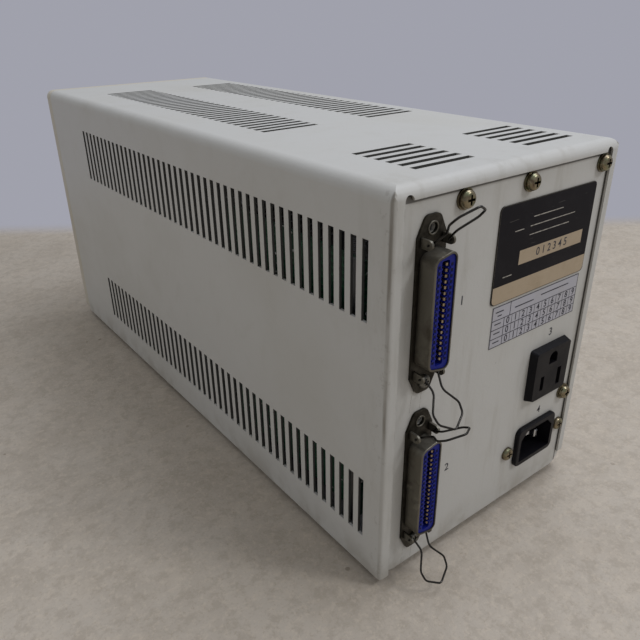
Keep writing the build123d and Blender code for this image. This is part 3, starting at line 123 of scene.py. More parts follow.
def ring(bm, centre, axis, radius, tube, segments=32, sides=10):
    """Torus spun from a small circle, alone in its bmesh."""
    circle = bmesh.ops.create_circle(bm, segments=sides, radius=tube, cap_ends=False)["verts"]
    bmesh.ops.rotate(bm, verts=circle, cent=(0, 0, 0), matrix=Matrix.Rotation(math.pi / 2, 3, "X"))
    bmesh.ops.translate(bm, verts=circle, vec=(radius, 0, 0))
    edges = list({edge for vert in circle for edge in vert.link_edges})
    bmesh.ops.spin(bm, geom=circle + edges, cent=(0, 0, 0), axis=(0, 0, 1), angle=math.tau,
                   steps=segments, use_merge=True)
    bmesh.ops.transform(bm, matrix=placed(centre, axis), verts=bm.verts[:])


def mesh_of(name, bm, merge=MERGE):
    """Mesh of a bmesh whose doubles are merged and whose faces point outwards."""
    bmesh.ops.remove_doubles(bm, verts=bm.verts, dist=merge)
    bmesh.ops.recalc_face_normals(bm, faces=bm.faces)
    mesh = bpy.data.meshes.new(name)
    bm.to_mesh(mesh)
    bm.free()
    return mesh


def place_piece(name, mesh, slot, body="case", look=None):
    """Piece that rides on a body, with its slot's finish or another look."""
    piece = bpy.data.objects.new(name, mesh)
    bpy.context.scene.collection.objects.link(piece)
    mesh.materials.clear()
    mesh.materials.append(finish_of(look or slot))
    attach(piece, body)


def finish_piece(name, bm, slot, body="case", look=None):
    """Turns a bmesh into a smooth-shaded piece."""
    mesh = mesh_of(name, bm)
    mesh.shade_smooth()
    mesh.set_sharp_from_angle(angle=SHARP)
    place_piece(name, mesh, slot, body, look)


def print_numbers(name, entries, facing, depth, slot, body="case", look="printed_ink"):
    """Piece made of short numbers; each entry is the text, its middle and its height."""
    bm = bmesh.new()
    for text, centre, size in entries:
        curve = bpy.data.curves.new("numeral", "FONT")
        curve.body = text
        curve.size = size / FIGURE
        curve.extrude = depth / 2
        curve.resolution_u = 4
        curve.offset = size * STROKE
        curve.align_x = "CENTER"
        curve.align_y = "CENTER"
        holder = bpy.data.objects.new("numeral", curve)
        bpy.context.scene.collection.objects.link(holder)
        bpy.context.view_layer.update()
        drawn = holder.evaluated_get(bpy.context.evaluated_depsgraph_get())
        shape = bpy.data.meshes.new_from_object(drawn)
        shape.transform(Matrix.Translation(Vector(centre)) @ facing)
        bm.from_mesh(shape)
        bpy.data.objects.remove(holder)
        bpy.data.curves.remove(curve)
        bpy.data.meshes.remove(shape)
    place_piece(name, mesh_of(name, bm, MERGE / 10), slot, body, look)


# ---- Finishes -----------------------------------------------------------------------------------
def shade(colour, red, green=None, blue=None):
    """The colour with each channel multiplied."""
    factors = (red, red if green is None else green, red if blue is None else blue)
    return tuple(min(1.0, channel * factor) for channel, factor in zip(colour[:3], factors))


class Finish:
    """Node material built up in layers of tint, shine and relief; sizes and depths are in metres."""

    def __init__(self, name, colour, roughness, metallic=0.0, level=0.5):
        self.material = bpy.data.materials.new(name)
        self.material.use_nodes = True
        self.tree = self.material.node_tree
        self.shader = next(n for n in self.tree.nodes if n.type == "BSDF_PRINCIPLED")
        self.shader.inputs["Metallic"].default_value = metallic
        self.shader.inputs["Specular IOR Level"].default_value = level
        self.colour = (*colour[:3], 1.0)
        self.roughness = roughness
        self.normal = None
        self.place = self.node("TexCoord").outputs["Object"]

    # Nodes
    def node(self, kind, feeds=None, **settings):
        made = self.tree.nodes.new("ShaderNode" + kind)
        for name, value in settings.items():
            setattr(made, name, value)
        for socket, value in (feeds or {}).items():
            self.feed(made.inputs[socket], value)
        return made

    def feed(self, socket, value):
        if isinstance(value, bpy.types.NodeSocket):
            self.tree.links.new(value, socket)
        else:
            socket.default_value = value

    def axis(self, name, vector=None):
        return self.node("SeparateXYZ", {"Vector": vector or self.place}).outputs[name]

    def dot(self, first, second):
        return self.node("VectorMath", {0: first, 1: second}, operation="DOT_PRODUCT").outputs["Value"]

    def ramp(self, value, start, end, out_start=0.0, out_end=1.0):
        feeds = {"Value": value, "From Min": start, "From Max": end, "To Min": out_start,
                 "To Max": out_end}
        return self.node("MapRange", feeds, interpolation_type="SMOOTHSTEP").outputs[0]

    def calc(self, operation, first, second=0.0):
        clamped = operation in ("MULTIPLY", "ADD")
        return self.node("Math", {0: first, 1: second}, operation=operation, use_clamp=clamped).outputs[0]

    def times(self, *factors):
        """Product of values between nought and one."""
        product = factors[0]
        for factor in factors[1:]:
            product = self.calc("MULTIPLY", product, factor)
        return product

    # Patterns
    def noise(self, size, detail=2.0, roughness=0.5, distortion=0.0, stretch=None, turn=(0, 0, 0)):
        """Noise; a stretch below one draws it out along that axis."""
        vector = self.place
        if stretch:
            feeds = {"Vector": vector, "Scale": stretch, "Rotation": turn}
            vector = self.node("Mapping", feeds).outputs[0]
        feeds = {"Vector": vector, "Scale": 1.0 / size, "Detail": detail, "Roughness": roughness,
                 "Distortion": distortion}
        return self.node("TexNoise", feeds).outputs[0]

    def cells(self, size, output="Distance", randomness=1.0):
        feeds = {"Vector": self.place, "Scale": 1.0 / size, "Randomness": randomness}
        return self.node("TexVoronoi", feeds, feature="F1").outputs[output]

    def bands(self, pitch, axis, distortion=0.0, profile="SIN"):
        feeds = {"Vector": self.place, "Scale": math.tau / 20.0 / pitch, "Distortion": distortion,
                 "Detail": 2.0, "Detail Scale": 1.5}
        return self.node("TexWave", feeds, wave_type="BANDS", wave_profile=profile,
                         bands_direction=axis).outputs["Fac"]

    def past(self, axis, start, end):
        """One beyond the end along an axis, nought before the start."""
        return self.ramp(self.axis(axis), start, end)

    def edges(self, radius):
        """One along outside and inside corners, nought on flats."""
        rounded = self.node("Bevel", {"Radius": radius}, samples=4).outputs[0]
        flat = self.node("NewGeometry").outputs["Normal"]
        return self.ramp(self.calc("SUBTRACT", 1.0, self.dot(rounded, flat)), 0.04, 0.3)

    def hollows(self, distance):
        """One in corners and recesses, which the surroundings keep from the light and where dust gathers.
        """
        open_sky = self.node("AmbientOcclusion", {"Distance": distance}, samples=6).outputs["AO"]
        return self.ramp(open_sky, 0.3, 0.9, 1.0, 0.0)

    # Layers
    def tint(self, amount, colour):
        mix = self.node("Mix", {0: amount, 6: self.colour, 7: (*colour[:3], 1.0)}, data_type="RGBA")
        self.colour = mix.outputs[2]

    def shine(self, amount, roughness):
        mix = self.node("Mix", {0: amount, 2: self.roughness, 3: roughness}, data_type="FLOAT")
        self.roughness = mix.outputs[0]

    def relief(self, height, depth):
        feeds = {"Height": height, "Distance": depth, "Strength": 1.0}
        if self.normal is not None:
            feeds["Normal"] = self.normal
        self.normal = self.node("Bump", feeds).outputs[0]

    def mottle(self, size, start, end, amount, colour, detail=2.0, roughness=0.5, **how):
        """Soft patches of another colour."""
        patches = self.noise(size, detail, roughness, **how)
        self.tint(self.ramp(patches, start, end, 0.0, amount), colour)

    def smudge(self, size, start, end, roughness, detail=2.0):
        """Soft patches of another roughness."""
        self.shine(self.ramp(self.noise(size, detail), start, end), roughness)

    def grain(self, size, depth, detail=2.0, roughness=0.5, **how):
        """Fine unevenness of the surface."""
        self.relief(self.noise(size, detail, roughness, **how), depth)

    def done(self):
        self.feed(self.shader.inputs["Base Color"], self.colour)
        self.feed(self.shader.inputs["Roughness"], self.roughness)
        if self.normal is not None:
            self.feed(self.shader.inputs["Normal"], self.normal)
        return self.material


def enamel(name, colour, roughness, texture, wear):
    """Stoved paint or moulded plastic that has been handled: haze, dirt and painted shade in hollows,
    specks and rubbed edges.
    """
    f = Finish(name, colour, roughness)
    haze = f.noise(0.085, 4, 0.55)
    f.tint(f.ramp(haze, 0.44, 0.72, 0.0, 0.30), shade(colour, 0.84, 0.81, 0.74))
    f.mottle(0.011, 0.50, 0.74, 0.14, shade(colour, 0.80, 0.78, 0.72), 3, 0.6)
    streak = f.noise(0.003, stretch=(1.0, 0.16, 0.16), turn=(0.5, 0.2, 0.9))
    mark = f.times(f.ramp(streak, 0.745, 0.775), f.ramp(f.noise(0.045), 0.56, 0.64))
    f.tint(f.times(mark, 0.35), shade(colour, 0.55, 0.52, 0.48))
    speck = f.times(f.ramp(f.cells(0.009), 0.045, 0.025), f.ramp(f.noise(0.02), 0.57, 0.62))
    f.tint(f.times(speck, 0.5), shade(colour, 0.34, 0.30, 0.26))
    corner = f.times(f.edges(0.0011), f.ramp(f.noise(0.004, 4, 0.65), 0.46, 0.62))
    f.tint(f.times(corner, wear), shade(colour, 0.48, 0.45, 0.42))
    # Dirt, with painted shade, in the hollows that the surroundings keep from the light
    dirt_and_shade = f.times(f.hollows(0.007), f.ramp(haze, 0.25, 0.6, 0.35, 0.75))
    f.tint(dirt_and_shade, shade(colour, 0.56, 0.52, 0.46))
    f.shine(f.ramp(haze, 0.4, 0.65), roughness + 0.10)
    f.shine(f.times(mark, 0.7), 0.28)
    f.grain(0.0011, texture, 1, 0.4)
    f.relief(corner, -0.00006)
    return f


def plated(name, colour, roughness, cloud, tarnish, amount):
    """Bright or dull plating with clouds of tarnish, fine scratches and worn edges."""
    f = Finish(name, colour, roughness, metallic=1.0)
    clouds = f.noise(cloud, 4, 0.6, 0.4)
    f.tint(f.ramp(clouds, 0.42, 0.70, 0.0, amount), tarnish)
    f.tint(f.times(f.hollows(0.0025), 0.55), shade(tarnish, 0.45))
    scratch = f.noise(0.0006, stretch=(1, 1, 0.05), turn=(0.4, 0.1, 0.2))
    f.shine(f.ramp(clouds, 0.38, 0.7), min(1.0, roughness + 0.22))
    f.shine(f.ramp(scratch, 0.58, 0.70, 0.0, 0.5), max(0.08, roughness - 0.15))
    f.relief(scratch, 0.00001)
    f.tint(f.times(f.edges(0.0004), 0.5), shade(colour, 1.25))
    return f


def moulded(name, colour, roughness, grain, depth, dust, dust_colour=(0.30, 0.28, 0.25), level=0.4):
    """Moulded plastic with a fine grain, dust in its hollows and polished corners."""
    f = Finish(name, colour, roughness, level=level)
    clouds = f.noise(0.018, 3, 0.6)
    f.tint(f.ramp(clouds, 0.45, 0.72, 0.0, dust), dust_colour)
    f.tint(f.times(f.hollows(0.003), dust), dust_colour)
    f.tint(f.times(f.edges(0.0005), 0.35), shade(colour, 2.2))
    f.shine(f.ramp(clouds, 0.4, 0.7), min(1.0, roughness + 0.16))
    f.grain(grain, depth)
    return f


# Colour, roughness, size of the clouds, tarnish and its amount
PLATED = {
    "tray_zinc": ((0.24, 0.24, 0.235), 0.42, 0.03, (0.13, 0.13, 0.125), 0.4),
    "yellow_zinc": ((0.29, 0.245, 0.160), 0.27, 0.003, (0.10, 0.065, 0.045), 0.8),
    "bail_wire": ((0.050, 0.047, 0.043), 0.30, 0.004, (0.020, 0.018, 0.016), 0.7),
    "cast_frame": ((0.30, 0.30, 0.295), 0.55, 0.02, (0.18, 0.175, 0.17), 0.5),
    "clamp_steel": ((0.50, 0.50, 0.49), 0.34, 0.012, (0.36, 0.34, 0.31), 0.4),
    "spindle_metal": ((0.58, 0.58, 0.58), 0.30, 0.015, (0.40, 0.39, 0.38), 0.3),
    "ground_steel": ((0.62, 0.62, 0.62), 0.18, 0.01, (0.45, 0.43, 0.40), 0.25),
    "bright_zinc": ((0.60, 0.61, 0.62), 0.28, 0.005, (0.38, 0.37, 0.35), 0.35),
    "tarnished_zinc": ((0.20, 0.195, 0.175), 0.36, 0.003, (0.06, 0.05, 0.04), 0.7),
    "gold_contacts": ((0.54, 0.43, 0.29), 0.40, 0.002, (0.22, 0.15, 0.09), 0.55),
    "brass_clips": ((0.60, 0.45, 0.19), 0.32, 0.003, (0.28, 0.19, 0.08), 0.5),
}
# Colour, roughness, size and depth of the grain, amount and colour of the dust, and specular level
MOULDED = {
    "foot_rubber": ((0.022, 0.021, 0.020), 0.72, 0.0007, 0.00004, 0.4, (0.16, 0.15, 0.13)),
    "stator_board": ((0.028, 0.12, 0.055), 0.42, 0.0008, 0.00001, 0.15),
    "motor_can": ((0.055, 0.055, 0.058), 0.42, 0.0009, 0.00002, 0.16),
    "sink_black": ((0.020, 0.020, 0.021), 0.50, 0.0006, 0.00001, 0.2),
    "wire_sleeve": ((0.035, 0.033, 0.034), 0.42, 0.0015, 0.00003, 0.2),
    "black_socket": ((0.0050, 0.0045, 0.0062), 0.42, 0.0006, 0.000014, 0.07, (0.040, 0.036, 0.040), 0.18),
    "rocker_black": ((0.020, 0.019, 0.020), 0.30, 0.0004, 0.000008, 0.08, (0.14, 0.13, 0.12)),
    "faceplate_plastic": ((0.030, 0.028, 0.027), 0.50, 0.0005, 0.00003, 0.14, (0.16, 0.15, 0.14)),
    "lever_plastic": ((0.022, 0.021, 0.021), 0.28, 0.0007, 0.000008, 0.08, (0.14, 0.13, 0.12)),
    "cone_plastic": ((0.56, 0.54, 0.46), 0.46, 0.0006, 0.00001, 0.2, (0.36, 0.33, 0.28)),
}
# Colour, roughness, metallic share and specular level
PLAIN = {
    "circuit_board": ((0.012, 0.062, 0.034), 0.34),
    "plate_black": ((0.0072, 0.0062, 0.0088), 0.50, 0.0, 0.12),
    "label_white": ((0.44, 0.435, 0.475), 0.42),
    "printed_ink": ((0.016, 0.016, 0.026), 0.55),
    "worn_silver_ink": ((0.46, 0.43, 0.37), 0.5),
    "lamp_red": ((0.33, 0.012, 0.010), 0.14),
    "core_laminate": ((0.085, 0.072, 0.060), 0.42, 0.55),
    "winding_tape": ((0.52, 0.36, 0.10), 0.30),
    "capacitor_sleeve": ((0.012, 0.030, 0.105), 0.24),
    "ribbon_grey": ((0.22, 0.22, 0.23), 0.5),
}
OWN_FINISH = {"connector_screws": "tarnished_zinc"}
LAYERS = {}
MADE = {}


def bases():
    """Base of every finish, and its values."""
    casing, rear = bpy.context.scene.disk_casing, bpy.context.scene.disk_rear
    shadow = shade(rear.insulator, 0.5, 0.4, 0.16)
    found = {
        "case_paint": (enamel, casing.paint, 0.40, 0.000035 * casing.texture, casing.wear),
        "bezel_plastic": (enamel, casing.plastic, 0.46, 0.00003 * casing.texture, 0.25),
        "rubbed_paint": (Finish, shade(casing.paint, 0.50, 0.48, 0.44), 0.5),
        "nickel_shell": (plated, rear.nickel, 0.44, 0.012, (0.085, 0.072, 0.052), 0.75),
        "blue_moulding": (moulded, rear.insulator, 0.34, 0.0005, 0.00001, 0.04, (0.03, 0.05, 0.24), 0.17),
        "blue_shadow": (moulded, shadow, 0.5, 0.0005, 0.00001, 0.03, (0.02, 0.02, 0.05), 0.15),
        "tan_foil": (Finish, rear.tan, 0.42, 0.25),
    }
    for base, table in ((plated, PLATED), (moulded, MOULDED), (Finish, PLAIN)):
        found.update({name: (base, *values) for name, values in table.items()})
    return found


def layers(add):
    """Lists a function under the finish to whose base it adds layers."""
    LAYERS[add.__name__] = add
    return add


def finish_of(name):
    """The material of a finish, made once: its base and its own layers."""
    if name not in MADE:
        base, *values = bases()[name]
        f = base(name, *values)
        if name in LAYERS:
            LAYERS[name](f)
        MADE[name] = f.done()
    return MADE[name]


FLANGE = 5.0 * MM       # width of the cover's rear flanges


@layers
def case_paint(f):
    look = bpy.context.scene.disk_casing
    front, back = low("cover", "y"), high("cover", "y")
    side = high("cover", "x")

    def toward_back(start, end):
        """Ramp along the depth, in millimetres from the flanges' outer face."""
        return f.past("Y", back - start * MM, back - end * MM)

    # Darker towards the bottom, in patches, below 20 mm
    low_darkening = f.times(f.past("Z", 0.020, 0.004), f.ramp(f.noise(0.012, 4), 0.40, 0.65, 0.1, 0.55))
    f.tint(low_darkening, shade(look.paint, 0.60, 0.56, 0.50))
    across = f.axis("X")
    from_middle = f.calc("ABSOLUTE", across)
    side_bend = f.ramp(from_middle, side - 2.0 * MM, side - 1.4 * MM)
    chips = f.times(toward_back(10.0, 2.5), f.ramp(f.noise(0.0035, 5, 0.7), 0.56, 0.66), side_bend, 0.35)
    f.tint(chips, shade(look.paint, 0.46, 0.42, 0.37))
    smear = f.noise(0.010, 4, 0.6, stretch=(1.6, 1.0, 0.22))
    f.tint(f.times(toward_back(28.0, 0.0), f.ramp(smear, 0.50, 0.70, 0.0, 0.28)),
           shade(look.paint, 0.66, 0.63, 0.57))
    streaks = f.ramp(f.noise(0.006, 4, 0.6, stretch=(1.0, 1.0, 0.12)), 0.40, 0.62, 0.22, 0.95)
    f.tint(f.times(toward_back(2.2, 1.3), toward_back(0.2, 0.8), side_bend, streaks),
           shade(look.paint, 0.44, 0.41, 0.37))

    # Shadow in the gap between the panel and the flanges, along the top and the -X side
    lip_x, lip_z = side - FLANGE, high("cover", "z") - FLANGE
    panel = f.times(toward_back(2.5, 2.0), toward_back(0.7, 1.1),
                    f.ramp(from_middle, lip_x + 0.6 * MM, lip_x + 0.2 * MM),
                    f.past("Z", lip_z + 2.7 * MM, lip_z + 2.4 * MM))
    gap = f.calc("MAXIMUM", f.past("Z", lip_z - 1.5 * MM, lip_z - 1.0 * MM),
                 f.ramp(across, 0.7 * MM - lip_x, 0.2 * MM - lip_x))
    f.tint(f.times(panel, gap, 0.85), shade(look.paint, 0.12, 0.11, 0.10))

    # Painted shade on the cut edges of the vents, which face along the case
    facing = f.axis("Y", f.node("NewGeometry").outputs["Normal"])
    cut = f.ramp(f.calc("ABSOLUTE", facing), 0.60, 0.80)
    f.tint(f.times(cut, f.past("Y", front + 3.0 * MM, front + 4.0 * MM), toward_back(5.0, 6.0), 0.92),
           shade(look.paint, 0.075, 0.075, 0.072))


@layers
def rubbed_paint(f):
    look = bpy.context.scene.disk_casing
    f.mottle(0.002, 0.46, 0.64, 1.0, shade(look.paint, 0.92), 3, 0.7)
    f.smudge(0.003, 0.4, 0.7, 0.35)


@layers
def bezel_plastic(f):
    f.grain(0.0005, 0.00002)


@layers
def tray_zinc(f):
    spangle = f.cells(1 / 110, "Color")
    f.tint(f.ramp(spangle, 0.2, 0.9, 0.0, 0.25), (0.33, 0.33, 0.335))


@layers
def foot_rubber(f):
    f.tint(f.past("Z", 0.0016, 0.0), (0.12, 0.11, 0.10))


@layers
def yellow_zinc(f):
    f.mottle(0.0025, 0.50, 0.64, 0.55, (0.17, 0.21, 0.12), 3)
    # Painted shade, with tarnish, in the hollows such as the cross
    f.tint(f.times(f.hollows(0.0022), 0.8), (0.035, 0.030, 0.020))


@layers
def nickel_shell(f):
    blot = f.times(f.ramp(f.noise(0.006, 3, 0.6), 0.60, 0.66), f.ramp(f.noise(0.02), 0.5, 0.6))
    f.tint(f.times(blot, 0.5), (0.36, 0.34, 0.28))
    f.shine(f.times(blot, 0.8), 0.72)
    f.grain(0.0016, 0.00002, 3)
    face = high("rear_panel", "y")
    # Dirt, with painted shade, darkening the flange that lies against the panel
    dirt_and_shade = f.ramp(f.noise(0.005, 3, 0.6), 0.30, 0.60, 0.95, 0.70)
    f.tint(f.times(f.past("Y", face + 1.3 * MM, face + 1.1 * MM), dirt_and_shade), (0.021, 0.018, 0.014))


@layers
def blue_moulding(f):
    look = bpy.context.scene.disk_rear
    # Painted shade in the moulding's hollows
    f.tint(f.times(f.hollows(0.0022), 0.65), shade(look.insulator, 0.25))


@layers
def bail_wire(f):
    f.relief(f.bands(0.0006, "X", 2.0), 0.000006)


@layers
def circuit_board(f):
    level = f.times(f.ramp(f.bands(0.0029, "Z"), 0.62, 0.74), f.ramp(f.noise(0.011), 0.40, 0.44))
    upright = f.times(f.ramp(f.bands(0.0037, "Y"), 0.66, 0.78), f.ramp(f.noise(0.013), 0.44, 0.48))
    zone = f.ramp(f.cells(0.016, "Color"), 0.46, 0.54)
    trace = f.node("Mix", {0: zone, 6: level, 7: upright}, data_type="RGBA").outputs[2]
    f.tint(f.times(trace, 0.75), (0.022, 0.125, 0.058))
    solder = f.times(f.ramp(f.cells(0.0042, randomness=0.55), 0.21, 0.15),
                     f.ramp(f.noise(0.009, 1), 0.46, 0.49))
    f.tint(solder, (0.62, 0.62, 0.60))
    f.mottle(0.03, 0.5, 0.75, 0.3, (0.10, 0.12, 0.08), 3)
    f.shine(solder, 0.24)
    f.relief(solder, 0.0006)
    f.relief(trace, 0.00004)


@layers
def plate_black(f):
    f.mottle(0.012, 0.48, 0.72, 0.14, (0.045, 0.042, 0.043), 4, 0.6)
    f.mottle(0.0009, 0.70, 0.74, 0.45, (0.12, 0.11, 0.10), stretch=(0.08, 1, 1), turn=(0, 0.35, 0))
    f.tint(f.times(f.edges(0.0004), 0.45), (0.38, 0.34, 0.26))
    f.smudge(0.009, 0.42, 0.68, 0.52, 3)
    f.relief(f.bands(0.0006, "X", 3.0), 0.000004)


@layers
def tan_foil(f):
    look = bpy.context.scene.disk_rear
    f.mottle(0.010, 0.45, 0.72, 0.35, shade(look.tan, 0.74, 0.70, 0.62), 4, 0.6)
    f.mottle(0.0011, 0.60, 0.72, 0.30, shade(look.tan, 1.2), stretch=(0.1, 1, 1))
    f.smudge(0.004, 0.4, 0.7, 0.58, 3)
    f.grain(0.0005, 0.000006)


@layers
def label_white(f):
    f.mottle(0.014, 0.44, 0.72, 0.35, (0.40, 0.38, 0.36), 4, 0.6)
    f.mottle(0.0006, 0.55, 0.75, 0.12, (0.62, 0.62, 0.66))
    f.smudge(0.006, 0.4, 0.7, 0.55)
    f.grain(0.0012, 0.00001)


@layers
def printed_ink(f):
    f.mottle(0.0014, 0.46, 0.74, 0.45, (0.12, 0.12, 0.14), 3, 0.7)
    f.smudge(0.003, 0.4, 0.7, 0.7)


@layers
def worn_silver_ink(f):
    f.mottle(0.0012, 0.44, 0.66, 0.8, (0.09, 0.085, 0.08), 3, 0.7)
    f.smudge(0.003, 0.4, 0.7, 0.65)


@layers
def lamp_red(f):
    f.shader.inputs["Coat Weight"].default_value = 0.6
    f.mottle(0.003, 0.45, 0.7, 0.4, (0.16, 0.008, 0.008))
    # Painted shade in its hollows
    f.tint(f.times(f.hollows(0.001), 0.5), (0.05, 0.004, 0.004))
    f.smudge(0.002, 0.5, 0.7, 0.25)
    f.relief(f.cells(0.0007), 0.00003)


@layers
def cast_frame(f):
    f.grain(0.0009, 0.00005, 3, 0.65)
    f.relief(f.cells(0.0016), 0.00002)


@layers
def clamp_steel(f):
    f.grain(0.0008, 0.00001, stretch=(1, 0.05, 1))


@layers
def spindle_metal(f):
    f.grain(0.0005, 0.000012, stretch=(1, 0.3, 0.3))


@layers
def stator_board(f):
    copper = f.ramp(f.cells(0.013, randomness=0.2), 0.46, 0.34)
    f.tint(copper, (0.42, 0.16, 0.07))
    f.shine(copper, 0.30)
    f.relief(f.times(copper, f.bands(0.0005, "Y", 0.5)), 0.0001)


@layers
def ground_steel(f):
    f.relief(f.bands(0.0006, "Y", 0.6), 0.000008)


@layers
def motor_can(f):
    f.tint(f.times(f.edges(0.0005), 0.7), (0.42, 0.41, 0.39))


@layers
def core_laminate(f):
    sheets = f.bands(0.0007, "Y", 0.2)
    f.tint(f.ramp(sheets, 0.55, 0.9, 0.0, 0.6), (0.20, 0.18, 0.155))
    f.mottle(0.006, 0.52, 0.68, 0.75, (0.16, 0.065, 0.026), 4, 0.65)
    f.smudge(0.008, 0.4, 0.7, 0.62)
    f.relief(sheets, 0.00012)


@layers
def winding_tape(f):
    turns = f.bands(0.0125, "Z", 0.4, "SAW")
    f.tint(f.ramp(turns, 0.90, 1.0, 0.0, 0.5), (0.30, 0.19, 0.05))
    f.mottle(0.01, 0.45, 0.7, 0.35, (0.38, 0.24, 0.07), 3, 0.6)
    f.smudge(0.006, 0.4, 0.7, 0.5, 3)
    f.relief(turns, 0.00012)
    f.grain(0.003, 0.00012, 3, distortion=0.6)


@layers
def capacitor_sleeve(f):
    f.tint(f.ramp(f.bands(0.022, "Y"), 0.90, 0.93), (0.48, 0.50, 0.50))
    f.mottle(0.006, 0.5, 0.75, 0.3, (0.06, 0.08, 0.13), 3)
    f.smudge(0.005, 0.4, 0.7, 0.38)
    f.grain(0.003, 0.00005)


@layers
def sink_black(f):
    f.tint(f.times(f.edges(0.0004), 0.5), (0.30, 0.30, 0.30))


@layers
def ribbon_grey(f):
    """Grey ribbon whose lowest wire is red."""
    wires = f.bands(0.00127, "Z")
    f.tint(f.ramp(wires, 0.0, 0.35, 0.5, 0.0), (0.10, 0.10, 0.11))
    foot = low("signal_ribbon", "z")
    f.tint(f.times(f.past("Z", foot + 1.8 * MM, foot + 1.4 * MM), 0.85), (0.42, 0.03, 0.025))
    f.mottle(0.02, 0.5, 0.75, 0.3, (0.24, 0.23, 0.21), 3)
    f.relief(wires, 0.0004)


@layers
def wire_sleeve(f):
    f.relief(f.bands(0.004, "DIAGONAL", 0.6), 0.0002)


def dress(nodes):
    """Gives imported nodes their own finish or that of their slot."""
    for node in nodes:
        mesh = frame["nodes"][node].data
        mesh.materials.clear()
        mesh.materials.append(finish_of(OWN_FINISH.get(node, SLOT_OF[node])))


# ---- Settings -----------------------------------------------------------------------------------
def tone(name, description, default):
    return bpy.props.FloatVectorProperty(name=name, description=description, default=default,
                                         subtype="COLOR", size=3, min=0.0, max=1.0)


def length(name, description, default):
    return bpy.props.FloatProperty(name=name, description=description, default=default,
                                   unit="LENGTH", subtype="DISTANCE", precision=5, min=0.0)


class CasingSettings(bpy.types.PropertyGroup):
    paint: tone("Paint", "Colour of the stoved paint", (0.548, 0.540, 0.508))
    plastic: tone("Plastic", "Colour of the front bezel", (0.56, 0.52, 0.43))
    texture: bpy.props.FloatProperty(name="Texture", description="Depth of the paint's orange peel",
                                     default=1.0, min=0.0, subtype="FACTOR")
    wear: bpy.props.FloatProperty(name="Wear", description="How far edges are rubbed", default=0.55,
                                  min=0.0, max=1.0, subtype="FACTOR")


class RearSettings(bpy.types.PropertyGroup):
    nickel: tone("Nickel", "Colour of the receptacle shells", (0.20, 0.187, 0.155))
    insulator: tone("Insulator", "Colour of the blue mouldings", (0.008, 0.014, 0.190))
    tan: tone("Tan foil", "Bare foil of the rating plate", (0.45, 0.36, 0.25))
    print_thickness: length("Print", "Thickness of printed marks", 0.04 * MM)
    number_height: length("Numbers", "Height of the panel's numbers", 3.7 * MM)
    pitch: length("Contact pitch", "Distance between contacts", 2.159 * MM)
    rib_width: length("Rib width", "Width of the ribs between contacts", 0.62 * MM)


class DriveSettings(bpy.types.PropertyGroup):
    chip_height: length("Chip height", "Height of the packages on the boards", 1.7 * MM)


class StudioSettings(bpy.types.PropertyGroup):
    floor: tone("Floor", "Colour of the floor", (0.502, 0.443, 0.368))
    distance: tone("Distance", "Colour that the floor fades to", (0.352, 0.357, 0.412))
    key: bpy.props.FloatProperty(name="Key", description="Power of the overhead lamp", default=6.9,
                                 subtype="POWER", unit="POWER")
    fill: bpy.props.FloatProperty(name="Fill", description="Strength of the world's light",
                                  default=0.43, min=0.0)


# ---- Stage --------------------------------------------------------------------------------------
CAMERA_AT = (0.2008, 0.3182, 0.2232)
CAMERA_TURN = (142.85, 26.23, -0.87)       # azimuth, elevation and roll, in degrees
CAMERA_LENS = 35.96                        # millimetres, on a sensor of that many millimetres:
SENSOR = 36.0
# Name, place, target, diameter, power as a share of the key's, and colour
LAMPS = (
    ("overhead", (-0.45, 0.15, 1.25), (0.0, 0.0, 0.08), 0.8, 1.0, (0.86, 0.90, 1.0)),
    ("window", (-0.50, 0.86, 0.98), (0.0, 0.05, 0.08), 0.24, 0.465, (0.95, 0.96, 1.0)),
)
SKY = (0.93, 0.95, 1.0, 1.0)
FLOOR_HALF = 6.0
AWAY = (-0.604, -0.797, 0.0)               # level direction in which the camera looks
FADE_AWAY = (0.295, 0.345)                 # the floor fades between these distances that way
FADE_ROUND = (0.75, 1.5)                   # and between these distances from the case


def camera_matrix():
    azimuth, elevation, roll = (math.radians(angle) for angle in CAMERA_TURN)
    ahead = Vector((-math.sin(azimuth) * math.cos(elevation), math.cos(azimuth) * math.cos(elevation),
                    -math.sin(elevation)))
    right = ahead.cross(Vector((0, 0, 1))).normalized()
    up = right.cross(ahead)
    tilted_right = right * math.cos(roll) + up * math.sin(roll)
    tilted_up = up * math.cos(roll) - right * math.sin(roll)
    axes = Matrix((tilted_right, tilted_up, -ahead)).transposed().to_4x4()
    return Matrix.Translation(CAMERA_AT) @ axes


def linked(name, data):
    """New object in the scene."""
    made = bpy.data.objects.new(name, data)
    bpy.context.scene.collection.objects.link(made)
    return made


def lamp(name, at, towards, size, power, colour):
    data = bpy.data.lights.new(name, "AREA")
    data.shape = "DISK"
    data.size = size
    data.energy = power
    data.color = colour
    made = linked(name, data)
    made.location = at
    made.rotation_euler = (Vector(towards) - Vector(at)).to_track_quat("-Z", "Y").to_euler()


def seen_directly(f):
    """One for rays that reach the camera straight, by reflection or through clear stuff."""
    path = f.node("LightPath")
    bright = f.calc("ADD", path.outputs["Is Camera Ray"], path.outputs["Is Glossy Ray"])
    return f.calc("ADD", bright, path.outputs["Is Transmission Ray"])


